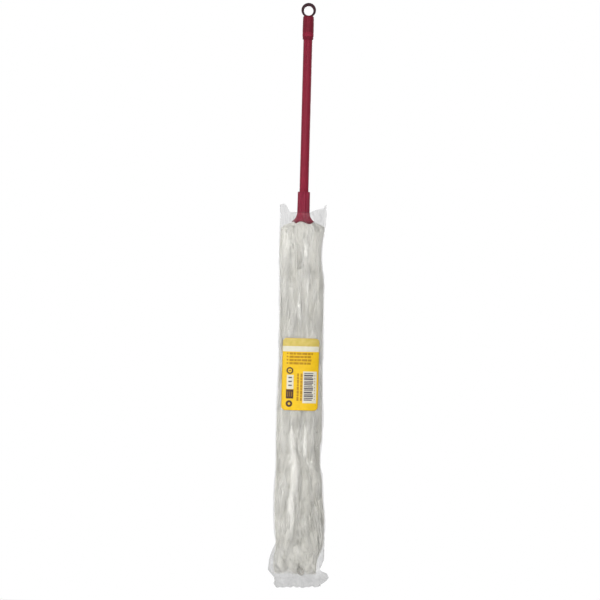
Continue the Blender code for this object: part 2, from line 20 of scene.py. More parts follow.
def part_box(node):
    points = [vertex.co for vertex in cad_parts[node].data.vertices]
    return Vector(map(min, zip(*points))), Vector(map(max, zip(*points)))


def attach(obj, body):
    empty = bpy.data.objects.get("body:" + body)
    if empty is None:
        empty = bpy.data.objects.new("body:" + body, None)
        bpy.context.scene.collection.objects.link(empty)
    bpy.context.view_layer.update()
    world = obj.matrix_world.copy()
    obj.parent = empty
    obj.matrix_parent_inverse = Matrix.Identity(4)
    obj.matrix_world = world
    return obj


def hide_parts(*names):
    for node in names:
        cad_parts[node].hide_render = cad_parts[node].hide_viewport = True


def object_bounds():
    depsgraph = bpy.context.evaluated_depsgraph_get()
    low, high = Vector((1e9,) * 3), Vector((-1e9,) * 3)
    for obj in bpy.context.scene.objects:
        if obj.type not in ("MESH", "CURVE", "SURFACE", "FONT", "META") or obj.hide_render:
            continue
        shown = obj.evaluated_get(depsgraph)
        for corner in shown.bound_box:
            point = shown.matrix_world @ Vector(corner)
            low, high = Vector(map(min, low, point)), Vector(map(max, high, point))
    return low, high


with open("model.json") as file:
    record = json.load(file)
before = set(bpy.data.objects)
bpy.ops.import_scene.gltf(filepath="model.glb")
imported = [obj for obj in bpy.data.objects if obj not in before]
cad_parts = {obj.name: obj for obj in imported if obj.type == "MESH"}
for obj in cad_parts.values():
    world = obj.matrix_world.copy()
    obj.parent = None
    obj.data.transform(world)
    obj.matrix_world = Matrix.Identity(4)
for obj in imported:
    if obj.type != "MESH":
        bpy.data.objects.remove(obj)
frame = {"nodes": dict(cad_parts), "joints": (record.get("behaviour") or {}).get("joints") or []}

CAD_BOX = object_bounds()
SLICES = tuple(f"pile_{number}" for number in range(1, 9))
NODES = ("hang_cap", "handle_tube", "collar", "core_wire", "sleeve_bag", "label", *SLICES)
BOXES = {node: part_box(node) for node in NODES}
LOG = logging.getLogger("duster")

Colour = tuple[float, float, float]
Point = tuple[float, float, float]
Span = tuple[float, float]
Band = tuple[float, float, float]

MERGE_DISTANCE = 0.000002
SOCKET_PLAY = 0.0003
WHITE = (1.0, 1.0, 1.0)


class Body(Enum):
    """The two bodies that the pieces ride on."""

    DUSTER = "duster"
    SLEEVE = "sleeve"


class Slot(Enum):
    """The record's material slots."""

    CAP = "cap_plastic"
    LACQUER = "red_lacquer"
    COLLAR = "collar_plastic"
    BUSH = "bush_plastic"
    WIRE = "wire_steel"
    FIBRE = "white_fibre"
    FILM = "clear_film"
    STICKER = "sticker_paper"


class Value:
    """A socket of numbers, on which Python's operators add Math nodes."""

    def __init__(self, graph: "Graph", socket: bpy.types.NodeSocket) -> None:
        """Keeps the socket and the tree that it is in."""
        self.graph = graph
        self.socket = socket

    def maths(self, operation: str, *operands: "Value | float") -> "Value":
        """Adds a Math node whose sockets take the operands in order."""
        node = self.graph.add("ShaderNodeMath", {"operation": operation}, dict(enumerate(operands)))
        return self.graph.value(node)

    def __add__(self, other: "Value | float") -> "Value":
        """Sum."""
        return self.maths("ADD", self, other)

    def __radd__(self, other: float) -> "Value":
        """Sum with a number on the left."""
        return self.maths("ADD", other, self)

    def __sub__(self, other: "Value | float") -> "Value":
        """Difference."""
        return self.maths("SUBTRACT", self, other)

    def __rsub__(self, other: float) -> "Value":
        """Difference with a number on the left."""
        return self.maths("SUBTRACT", other, self)

    def __mul__(self, other: "Value | float") -> "Value":
        """Product."""
        return self.maths("MULTIPLY", self, other)

    def __rmul__(self, other: float) -> "Value":
        """Product with a number on the left."""
        return self.maths("MULTIPLY", other, self)

    def __truediv__(self, other: "Value | float") -> "Value":
        """Quotient."""
        return self.maths("DIVIDE", self, other)

    def __pow__(self, other: "Value | float") -> "Value":
        """Power."""
        return self.maths("POWER", self, other)

    def __gt__(self, other: "Value | float") -> "Value":
        """One where this is greater, and zero elsewhere."""
        return self.maths("GREATER_THAN", self, other)

    def most(self, other: "Value | float") -> "Value":
        """The greater of the two."""
        return self.maths("MAXIMUM", self, other)

    def least(self, other: "Value | float") -> "Value":
        """The smaller of the two."""
        return self.maths("MINIMUM", self, other)

    def whole(self) -> "Value":
        """The whole number at or below."""
        return self.maths("FLOOR", self)

    def size(self) -> "Value":
        """Its distance from zero."""
        return self.maths("ABSOLUTE", self)

    def sine(self) -> "Value":
        """Sine of an angle in radians."""
        return self.maths("SINE", self)

    def cosine(self) -> "Value":
        """Cosine of an angle in radians."""
        return self.maths("COSINE", self)

    def ramp(self, low: float, high: float, smooth: bool = True) -> "Value":
        """Rises from zero at one value to one at another.

        Args:
            low: Where the result is zero.
            high: Where it is one.
            smooth: Whether both ends are eased.

        Returns:
            The share between them, kept from zero to one.
        """
        way = "SMOOTHSTEP" if smooth else "LINEAR"
        settings = {"interpolation_type": way, "clamp": True}
        return self.graph.value(self.graph.add("ShaderNodeMapRange", settings, {0: self, 1: low, 2: high}))


class Graph:
    """A node tree that is filled in with short calls."""

    def __init__(self, tree: bpy.types.NodeTree) -> None:
        """Keeps the tree."""
        self.tree = tree

    def add(self, kind: str, settings: dict | None = None, inputs: dict | None = None) -> bpy.types.Node:
        """Adds a node, sets it up and then fills or links its sockets.

        Args:
            kind: The node's type.
            settings: Its properties; "points" holds a curve's points.
            inputs: Numbers, colours, Values or sockets by the input's name or number.

        Returns:
            The node.
        """
        node = self.tree.nodes.new(kind)
        for name, setting in (settings or {}).items():
            if name == "points":
                self._set_points(node.mapping, setting)
            else:
                setattr(node, name, setting)
        for name, given in (inputs or {}).items():
            socket = node.inputs[name]
            if isinstance(given, Value):
                self.tree.links.new(given.socket, socket)
            elif isinstance(given, bpy.types.NodeSocket):
                self.tree.links.new(given, socket)
            elif socket.type == "RGBA":
                socket.default_value = (*given[:3], 1.0)
            else:
                socket.default_value = given
        return node

    def out(self, kind: str, settings: dict | None = None, inputs: dict | None = None) -> bpy.types.NodeSocket:
        """Adds a node and gives its first output."""
        return self.add(kind, settings, inputs).outputs[0]

    @staticmethod
    def _set_points(mapping: bpy.types.CurveMapping, points: Sequence[Span]) -> None:
        """Gives a curve these points.

        Args:
            mapping: The node's curves, of which the first is set.
            points: The points, in any order.
        """
        curve = mapping.curves[0]
        while len(curve.points) < len(points):
            curve.points.new(0.5, 0.5)
        for point, place in zip(curve.points, sorted(points)):
            point.location = place
        mapping.update()

    def value(self, node: bpy.types.Node, output: int | str = 0) -> Value:
        """One of a node's outputs as a Value."""
        return Value(self, node.outputs[output])

    def noise(self, where: object, scale: float, detail: float = 2.0, output: int = 0) -> Value:
        """Noise at a place.

        Args:
            where: The socket or Value that says where.
            scale: How many cells there are in a metre.
            detail: How many finer layers are added.
            output: 0 for one number, 1 for a colour.

        Returns:
            The noise, about a half on average.
        """
        inputs = {"Vector": where, "Scale": scale, "Detail": detail}
        return self.value(self.add("ShaderNodeTexNoise", None, inputs), output)

    def parts(self, vector: object) -> list[Value]:
        """The three numbers of a place or colour."""
        node = self.add("ShaderNodeSeparateXYZ", None, {0: vector})
        return [self.value(node, index) for index in range(3)]

    def mix(self, share: "Value | float", first: object, second: object) -> bpy.types.NodeSocket:
        """A colour between two, by a share."""
        return self.add("ShaderNodeMix", {"data_type": "RGBA"}, {0: share, 6: first, 7: second}).outputs[2]

    def rays(self, *kinds: str) -> Value:
        """One for light rays of these kinds, and zero for the rest.

        Args:
            kinds: The kinds' names.

        Returns:
            The share.
        """
        path = self.add("ShaderNodeLightPath")
        first, *others = (self.value(path, f"Is {kind} Ray") for kind in kinds)
        for other in others:
            first = first.most(other)
        return first


class Shader(Graph):
    """A material's node tree with one Principled shader."""

    def __init__(self, name: str, constants: dict[str, object]) -> None:
        """Starts the material.

        Args:
            name: The material's name.
            constants: What is the same all over, by the shader's socket names.
        """
        self.material = bpy.data.materials.new(name)
        self.material.use_nodes = True
        super().__init__(self.material.node_tree)
        self.shader = self.tree.nodes["Principled BSDF"]
        for socket, number in constants.items():
            self.shader.inputs[socket].default_value = number
        self.place = self.add("ShaderNodeTexCoord").outputs["Object"]

    def stretched(self, scale: Point) -> bpy.types.NodeSocket:
        """The place on the piece with each axis scaled."""
        return self.out("ShaderNodeMapping", None, {"Vector": self.place, "Scale": scale})

    def height(self) -> Value:
        """How high the place on the piece is."""
        return self.parts(self.place)[2]

    def attribute(self, name: str) -> Value:
        """A number that the mesh carries."""
        return self.value(self.add("ShaderNodeAttribute", {"attribute_name": name}), 2)

    def bump(self, height: Value, distance: float, strength: float = 1.0) -> None:
        """Bends the shader's normal by a height.

        Args:
            height: The height, from zero to one.
            distance: How deep one is, in metres.
            strength: The share of the bend that is kept.
        """
        inputs = {"Height": height, "Distance": distance, "Strength": strength}
        self.feed("Normal", self.out("ShaderNodeBump", None, inputs))

    def feed(self, socket: str, source: "Value | bpy.types.NodeSocket") -> None:
        """Links a Value or socket into the shader."""
        self.tree.links.new(source.socket if isinstance(source, Value) else source, self.shader.inputs[socket])


@dataclass(frozen=True)
class MouldedPlastic:
    """Burgundy moulded plastic: faint flow marks in its colour and a fine satin grain.

    The eye is a darker colour above a height: painted shade on the hanging eye. The lit band is a lighter
    belt of painted highlight, by the heights of its top and foot and its gain.
    """

    name: str
    colour: Colour
    shade: Colour
    roughness: float
    eye_painted_shade: Colour | None = None
    eye_from: float = -0.0052
    eye_blend: float = 0.0008
    lit_band: Band | None = None
    lit_band_blend: float = 0.0004
    grain_depth: float = 0.000012
    grain_cells: float = 2600.0
    flow_cells: float = 120.0

    def build(self) -> bpy.types.Material:
        """Makes the finish.

        Returns:
            The material.
        """
        shader = Shader(self.name, {"IOR": 1.47, "Specular IOR Level": 0.11})
        flow = shader.noise(shader.stretched((1.0, 1.0, 0.25)), self.flow_cells, 3.0)
        tone = shader.mix(flow.ramp(0.3, 0.7), self.shade, self.colour)
        # The hanging eye's darker colour is painted shade.
        if self.eye_painted_shade is not None:
            up = shader.height().ramp(self.eye_from - self.eye_blend, self.eye_from + self.eye_blend)
            tone = shader.mix(up, tone, self.eye_painted_shade)
        # The lit band is a painted highlight: a lighter belt standing for lamp light caught on the cap's lower
        # part and the collar's flare.
        if self.lit_band is not None:
            top, foot, gain = self.lit_band
            height = shader.height()
            below_top = height.ramp(top + self.lit_band_blend, top - self.lit_band_blend)
            above_foot = height.ramp(foot - self.lit_band_blend, foot + self.lit_band_blend)
            lit_colour = tuple(min(part * gain, 1.0) for part in self.colour)
            tone = shader.mix(below_top * above_foot, tone, lit_colour)
        shader.feed("Base Color", tone)
        grain = shader.noise(shader.place, self.grain_cells, 2.0)
        shader.feed("Roughness", self.roughness + (flow - 0.5) * 0.16 + (grain - 0.5) * 0.1)
        shader.bump(grain, self.grain_depth)
        return shader.material


@dataclass(frozen=True)
class Lacquer:
    """Satin lacquer on drawn steel tube: faint lengthwise draw lines under an even coat."""

    name: str = "red_lacquer"
    colour: Colour = (0.214, 0.014, 0.033)
    shade: Colour = (0.178, 0.011, 0.0265)
    roughness: float = 0.47
    line_cells: float = 900.0
    line_stretch: float = 0.012
    cloud_cells: float = 45.0
    peel_cells: float = 700.0
    peel_depth: float = 0.000015

    def build(self) -> bpy.types.Material:
        """Makes the finish.

        Returns:
            The material.
        """
        shader = Shader(self.name, {"IOR": 1.48, "Specular IOR Level": 0.11})
        lines = shader.noise(shader.stretched((1.0, 1.0, self.line_stretch)), self.line_cells, 3.0)
        cloud = shader.noise(shader.place, self.cloud_cells, 3.0)
        tone = (lines * 0.6 + cloud * 0.4).ramp(0.36, 0.64)
        shader.feed("Base Color", shader.mix(tone, self.shade, self.colour))
        peel = shader.noise(shader.place, self.peel_cells, 1.0)
        shader.feed("Roughness", self.roughness + (cloud - 0.5) * 0.15 + (lines - 0.5) * 0.12)
        shader.bump(peel * 0.7 + lines * 0.3, self.peel_depth)
        return shader.material


@dataclass(frozen=True)
class NaturalPlastic:
    """Plain undyed plastic of the bush, a little yellowed and finely grained."""

    name: str = "bush_plastic"
    colour: Colour = (0.74, 0.73, 0.69)
    shade: Colour = (0.62, 0.61, 0.57)
    roughness: float = 0.45
    cloud_cells: float = 220.0
    grain_cells: float = 3000.0
    grain_depth: float = 0.00003

    def build(self) -> bpy.types.Material:
        """Makes the finish.

        Returns:
            The material.
        """
        shader = Shader(self.name, {"IOR": 1.49})
        cloud = shader.noise(shader.place, self.cloud_cells, 3.0)
        shader.feed("Base Color", shader.mix(cloud, self.shade, self.colour))
        shader.feed("Roughness", self.roughness + (cloud - 0.5) * 0.2)
        shader.bump(shader.noise(shader.place, self.grain_cells), self.grain_depth)
        return shader.material


@dataclass(frozen=True)
class Galvanised:
    """Galvanised wire: dull zinc with darker drawn streaks and a few dark spots."""

    name: str = "galvanised_wire"
    bright: Colour = (0.50, 0.48, 0.44)
    dull: Colour = (0.30, 0.285, 0.26)
    spots: Colour = (0.12, 0.10, 0.085)
    roughness: float = 0.36
    streak_cells: float = 1500.0
    streak_depth: float = 0.00004
    spot_cells: float = 900.0

    def build(self) -> bpy.types.Material:
        """Makes the finish.

        Returns:
            The material.
        """
        shader = Shader(self.name, {"Metallic": 1.0})
        streak = shader.noise(shader.stretched((1.0, 1.0, 0.2)), self.streak_cells, 3.0)
        spot = shader.noise(shader.place, self.spot_cells, 2.0).ramp(0.62, 0.72)
        zinc = shader.mix(streak, self.dull, self.bright)
        shader.feed("Base Color", shader.mix(spot * 0.6, zinc, self.spots))
        shader.feed("Roughness", self.roughness + streak * 0.22 + spot * 0.15)
        shader.bump(streak, self.streak_depth)
        return shader.material


@dataclass(frozen=True)
class Fibre:
    """Soft off-white fibre: each lock has its own tone, darker and warmer towards its root."""

    name: str = "white_fibre"
    pale: Colour = (0.86, 0.85, 0.81)
    warm: Colour = (0.80, 0.785, 0.715)
    deep: Colour = (0.76, 0.74, 0.67)
    cloud_cells: float = 60.0
    strand_cells: float = 2500.0
    strand_depth: float = 0.00006

    def build(self) -> bpy.types.Material:
        """Makes the finish.

        Returns:
            The material.
        """
        constants = {"Roughness": 0.75, "Specular IOR Level": 0.25, "Sheen Weight": 0.25, "Sheen Roughness": 0.5}
        shader = Shader(self.name, constants)
        tone = shader.attribute("lock_tone")
        along = shader.attribute("lock_reach")
        cloud = shader.noise(shader.place, self.cloud_cells, 2.0)
        paleness = (tone * 0.7 + cloud * 0.45).ramp(0.15, 0.95, smooth=False)
        body = shader.mix(paleness, self.warm, self.pale)
        shader.feed("Base Color", shader.mix(along.ramp(0.05, 0.30), self.deep, body))
        strands = shader.noise(shader.stretched((1.0, 1.0, 0.15)), self.strand_cells, 1.0)
        shader.bump(strands, self.strand_depth, 0.6)
        return shader.material


@dataclass(frozen=True)
class ClearFilm:
    """Thin hazy polythene: nearly clear where it is smooth, milkier along creases and welds, with painted
    highlights on ridges.
    """

    name: str = "clear_film"
    tint: Colour = (0.085, 0.085, 0.085)
    milk: Colour = (0.36, 0.36, 0.355)
    # The light colour and its alpha share paint highlights along ridges, standing in for the lamps' reflections.
    light: Colour = (0.96, 0.95, 0.92)
    clear_alpha: float = 0.066
    crease_alpha: float = 0.16
    crackle_alpha: float = 0.05
    highlight_alpha: float = 0.10
    roughness: float = 0.16
    cloud_cells: float = 130.0
    crackle_cells: float = 420.0
    crackle_depth: float = 0.0004

    def build(self) -> bpy.types.Material:
        """Makes the finish.

        Returns:
            The material.
        """
        shader = Shader(self.name, {"IOR": 1.51, "Specular IOR Level": 0.35})
        crease = shader.attribute("film_crease")
        cloud = shader.noise(shader.stretched((1.0, 1.0, 0.35)), self.cloud_cells, 3.0)
        crackle = shader.noise(shader.stretched((1.0, 1.0, 0.3)), self.crackle_cells, 3.0)
        haze = (crease + (cloud - 0.5) * 0.35).ramp(0.0, 1.0, smooth=False)
        broken = (cloud * 0.5 + crackle * 0.5).ramp(0.36, 0.56)
        # Painted highlight: lighter, more opaque film where the ridges would catch the lamps.
        painted_highlight = shader.attribute("film_painted_highlight") * (0.35 + broken * 0.65)
        body = shader.mix(haze, self.tint, self.milk)
        shader.feed("Base Color", shader.mix(painted_highlight.ramp(0.0, 0.5), body, self.light))
        alpha = self.clear_alpha + haze * self.crease_alpha + (crackle - 0.5).size() * self.crackle_alpha
        shader.feed("Alpha", alpha + painted_highlight * self.highlight_alpha)
        shader.feed("Roughness", self.roughness + cloud * 0.16)
        shader.bump(crackle * 0.6 + cloud * 0.4, self.crackle_depth, 0.55)
        return shader.material


@dataclass(frozen=True)
class PrintedPaper:
    """Coated sticker stock or an ink on it: an even colour with faint paper mottle."""

    name: str
    colour: Colour
    shade: Colour
    roughness: float = 0.42
    mottle_cells: float = 260.0
    grain_cells: float = 1800.0
    grain_depth: float = 0.00002

    def build(self) -> bpy.types.Material:
        """Makes the finish.

        Returns:
            The material.
        """
        shader = Shader(self.name, {"IOR": 1.45, "Specular IOR Level": 0.2})
        mottle = shader.noise(shader.place, self.mottle_cells, 4.0)
        shader.feed("Base Color", shader.mix(mottle.ramp(0.3, 0.7), self.shade, self.colour))
        shader.feed("Roughness", self.roughness + (mottle - 0.5) * 0.15)
        shader.bump(shader.noise(shader.place, self.grain_cells, 2.0), self.grain_depth)
        return shader.material


def add_piece(name: str, mesh: bpy.types.Mesh, material: bpy.types.Material | None = None) -> bpy.types.Object:
    """Links a new object at the origin.

    Args:
        name: The piece's name.
        mesh: Its mesh, in place.
        material: Its finish, or none if it gets it later.

    Returns:
        The object.
    """
    if material is not None:
        mesh.materials.clear()
        mesh.materials.append(material)
    piece = bpy.data.objects.new(name, mesh)
    bpy.context.scene.collection.objects.link(piece)
    return piece


def settle(piece: bpy.types.Object) -> None:
    """Turns what the modifiers make into the piece's plain mesh, and removes them.

    Args:
        piece: The piece with its modifiers.
    """
    bpy.context.view_layer.update()
    graph = bpy.context.evaluated_depsgraph_get()
    mesh = bpy.data.meshes.new_from_object(piece.evaluated_get(graph))
    piece.modifiers.clear()
    piece.data = mesh


def thicken(piece: bpy.types.Object, wall: float, side: float) -> None:
    """Gives a sheet its wall and settles it.

    Args:
        piece: The sheet.
        wall: The wall's thickness.
        side: One for a wall outside the sheet, and minus one for a wall inside it.
    """
    shell = piece.modifiers.new("wall", "SOLIDIFY")
    shell.thickness = wall
    shell.offset = side
    settle(piece)


def grow(piece: bpy.types.Object, tree: bpy.types.NodeTree, inputs: dict[str, object]) -> None:
    """Runs a geometry tree on a piece and settles it.

    Args:
        piece: The piece.
        tree: The tree.
        inputs: What goes into the tree, by its inputs' names.
    """
    modifier = piece.modifiers.new(tree.name, "NODES")
    modifier.node_group = tree
    sockets = {item.name: item.identifier for item in tree.interface.items_tree}
    for name, given in inputs.items():
        modifier[sockets[name]] = given
    settle(piece)


def dress(piece: bpy.types.Object, body: Body, stands_for: Sequence[str] = ()) -> None:
    """Says what a finished piece rides on and the nodes that it stands for.

    Args:
        piece: The finished piece.
        body: What it rides on.
        stands_for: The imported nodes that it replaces.
    """
    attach(piece, body.value)
    if stands_for:
        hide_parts(*stands_for)
    triangles = sum(len(face.vertices) - 2 for face in piece.data.polygons)
    LOG.info("%s: %d triangles on %s", piece.name, triangles, body.value)


def grid_faces(rows: int, columns: int, wrap: bool, loop: bool = False) -> list[tuple[int, ...]]:
    """Quads of a grid of points.

    Args:
        rows: How many rows of points there are.
        columns: How many points a row has.
        wrap: Whether each row closes on itself.
        loop: Whether the last row joins the first.

    Returns:
        The quads.
    """
    faces = []
    for row in range(rows if loop else rows - 1):
        here, below = row * columns, (row + 1) % rows * columns
        for column in range(columns if wrap else columns - 1):
            beside = (column + 1) % columns
            faces.append((here + column, here + beside, below + beside, below + column))
    return faces


def solid_mesh(
    name: str, points: Sequence[Sequence[float]], faces: Sequence[Sequence[int]], sharp: float = 0.6
) -> bpy.types.Mesh:
    """A smooth mesh whose faces point outwards.

    Args:
        name: The mesh's name.
        points: Its points.
        faces: Its faces.
        sharp: The angle over which an edge stays sharp, in radians.

    Returns:
        The mesh.
    """
    mesh = bpy.data.meshes.new(name)
    mesh.from_pydata([tuple(point) for point in points], [], [tuple(face) for face in faces])
    work = bmesh.new()
    work.from_mesh(mesh)
    bmesh.ops.remove_doubles(work, verts=work.verts, dist=MERGE_DISTANCE)
    bmesh.ops.recalc_face_normals(work, faces=work.faces)
    work.to_mesh(mesh)
    work.free()
    mesh.shade_smooth()
    mesh.set_sharp_from_angle(angle=sharp)
    return mesh


def turned_mesh(name: str, profile: Sequence[Span], steps: int) -> bpy.types.Mesh:
    """A closed outline turned about Z.

    Args:
        name: The mesh's name.
        profile: The outline's radii and heights.
        steps: How many points each turned ring has.

    Returns:
        The mesh.
    """
    turns = np.arange(steps) * math.tau / steps
    points = []
    for radius, height in profile:
        ring = np.stack([radius * np.cos(turns), radius * np.sin(turns), np.full(steps, height)], axis=1)
        points += ring.tolist()
    return solid_mesh(name, points, grid_faces(len(profile), steps, True, loop=True))


def eased(share: "np.ndarray | float") -> "np.ndarray | float":
    """A share from zero to one with both ends eased."""
    kept = np.clip(share, 0.0, 1.0)
    return kept * kept * (3.0 - 2.0 * kept)


def smooth_through(at: np.ndarray, places: Sequence[float], values: Sequence[float]) -> np.ndarray:
    """A smooth line through values, read at some places.

    Args:
        at: Where it is read.
        places: Where the values stand, rising.
        values: The values.

    Returns:
        The line's values there.
    """
    xs = np.asarray(places, float)
    ys = np.asarray(values, float)
    slopes = np.gradient(ys, xs)
    kept = np.clip(at, xs[0], xs[-1])
    index = np.clip(np.searchsorted(xs, kept, side="right") - 1, 0, len(xs) - 2)
    width = xs[index + 1] - xs[index]
    share = (kept - xs[index]) / width
    square = share * share
    cube = square * share
    return (
        (2 * cube - 3 * square + 1) * ys[index]
        + (cube - 2 * square + share) * width * slopes[index]
        + (3 * square - 2 * cube) * ys[index + 1]
        + (cube - square) * width * slopes[index + 1]
    )


def new_tree(name: str, sizes: dict[str, str]) -> bpy.types.NodeTree:
    """A geometry tree with named inputs.

    Args:
        name: The tree's name.
        sizes: The kind of socket of each input, by its name.

    Returns:
        The tree, with a geometry input and output.
    """
    tree = bpy.data.node_groups.new(name, "GeometryNodeTree")
    for way in ("INPUT", "OUTPUT"):
        tree.interface.new_socket("Geometry", in_out=way, socket_type="NodeSocketGeometry")
    for size, kind in sizes.items():
        tree.interface.new_socket(size, in_out="INPUT", socket_type=f"NodeSocket{kind}")
    return tree


def finish_tree(graph: Graph, shape: bpy.types.NodeSocket, finish: bpy.types.NodeSocket) -> None:
    """Ends a tree: smooth shading, real geometry and its material.

    Args:
        graph: The tree.
        shape: The geometry.
        finish: The material.
    """
    smooth = graph.out("GeometryNodeSetShadeSmooth", None, {"Geometry": shape})
    real = graph.out("GeometryNodeRealizeInstances", None, {"Geometry": smooth})
    dressed = graph.out("GeometryNodeSetMaterial", None, {"Geometry": real, "Material": finish})
    graph.add("NodeGroupOutput", None, {"Geometry": dressed})


@dataclass(frozen=True)
class Lamp:
    """A soft square of light: its power is in watts and its spread in degrees."""

    name: str
    place: Point
    power: float
    spread: float = 180.0
    looks_low: bool = False


@dataclass(frozen=True)
class Studio:
    """Floor, background, lamps and the camera, straight in front as the photograph has it."""

    picture_pixels: float = 600.0
    pixel: float = 0.01 / 9.0
    hole_pixel: Span = (308.7, 10.95)
    roll_degrees: float = 1.5
    lens: float = 250.0
    sensor: float = 36.0
    clip_end: float = 60.0
    soft_light: float = 0.22
    floor_gap: float = 0.03
    floor_radius: float = 6.0
    floor_steps: int = 96
    floor_tones: tuple[Colour, Colour] = ((0.80, 0.80, 0.80), (0.84, 0.84, 0.84))
    floor_glow: float = 0.8
    lamp_size: float = 1.2
    low_aim: float = 0.06
    lamps: tuple[Lamp, ...] = (
        Lamp("key_lamp", (-2.0, -1.9, -0.50), 3.6, 50.0, True),
        Lamp("low_lamp", (-1.2, -2.1, -1.60), 2.2, 50.0, True),
        Lamp("front_lamp", (0.15, -2.9, 0.20), 50.0),
        Lamp("fill_lamp", (1.6, -1.9, 0.75), 6.0),
        Lamp("back_lamp", (0.2, 2.2, 0.2), 40.0),
        Lamp("left_back_lamp", (-1.9, 1.5, 0.2), 8.0),
        Lamp("right_back_lamp", (1.9, 1.5, 0.2), 8.0),
    )

    def build(self) -> None:
        """Makes everything that isn't part of the object."""
        self._camera()
        self._world()
        self._floor()
        for lamp in self.lamps:
            self._light(lamp)
        bpy.context.scene.view_settings.view_transform = "Standard"

    def _camera(self) -> None:
        """A long lens straight in front, rolled as the photograph is."""
        roll = math.radians(self.roll_degrees)
        across = self.picture_pixels / 2 - self.hole_pixel[0]
        down = self.picture_pixels / 2 - self.hole_pixel[1]
        x = (across * math.cos(roll) + down * math.sin(roll)) * self.pixel
        z = -(down * math.cos(roll) - across * math.sin(roll)) * self.pixel
        distance = self.picture_pixels * self.pixel * self.lens / self.sensor
        data = bpy.data.cameras.new("camera")
        data.lens = self.lens
        data.sensor_width = self.sensor
        data.clip_end = self.clip_end
        camera = bpy.data.objects.new("camera", data)
        camera.location = (x, -distance, z)
        camera.rotation_euler = Euler((math.pi / 2, -roll, 0.0))
        bpy.context.scene.collection.objects.link(camera)
        bpy.context.scene.camera = camera

    def _world(self) -> None:
        """White to the camera and in reflections, and a soft grey light for the rest."""
        world = bpy.data.worlds.new("studio")
        world.use_nodes = True
        bpy.context.scene.world = world
        graph = Graph(world.node_tree)
        world.node_tree.nodes.clear()
        seen = graph.rays("Camera", "Glossy", "Transmission")
        soft, white = (
            graph.out("ShaderNodeBackground", None, {"Color": WHITE, "Strength": strength})
            for strength in (self.soft_light, 1.0)
        )
        both = graph.out("ShaderNodeMixShader", None, {0: seen, 1: soft, 2: white})
        graph.add("ShaderNodeOutputWorld", None, {"Surface": both})

    def _floor(self) -> None:
        """A pale round floor below the lowest place that the sleeve reaches."""
        travel = max(joint["range_m"][1] for joint in frame["joints"])
        work = bmesh.new()
        bmesh.ops.create_circle(work, cap_ends=True, segments=self.floor_steps, radius=self.floor_radius)
        mesh = bpy.data.meshes.new("floor")
        work.to_mesh(mesh)
        work.free()
        shader = Shader("pale_floor", {"Roughness": 0.8})
        shader.feed("Base Color", shader.mix(shader.noise(shader.place, 3.0, 4.0), *self.floor_tones))
        glow = shader.out("ShaderNodeEmission", None, {"Color": WHITE, "Strength": 1.0})
        share = shader.rays("Camera", "Glossy") * self.floor_glow
        both = shader.out("ShaderNodeMixShader", None, {0: share, 1: shader.shader.outputs[0], 2: glow})
        shader.tree.links.new(both, shader.tree.nodes["Material Output"].inputs["Surface"])
        floor = add_piece("floor", mesh, shader.material)
        floor.location = (0.0, 0.0, CAD_BOX[0].z - travel - self.floor_gap)

    def _light(self, lamp: Lamp) -> None:
        """Hangs one lamp, which looks at the object's middle or at its foot.

        Args:
            lamp: The lamp.
        """
        place = Vector(lamp.place)
        foot = Vector((0.0, 0.0, CAD_BOX[0].z + self.low_aim))
        aim = foot if lamp.looks_low else (CAD_BOX[0] + CAD_BOX[1]) / 2
        data = bpy.data.lights.new(lamp.name, "AREA")
        data.size = self.lamp_size
        data.energy = lamp.power
        data.spread = math.radians(lamp.spread)
        light = bpy.data.objects.new(lamp.name, data)
        light.location = place
        light.rotation_euler = (aim - place).to_track_quat("-Z", "Y").to_euler()
        bpy.context.scene.collection.objects.link(light)


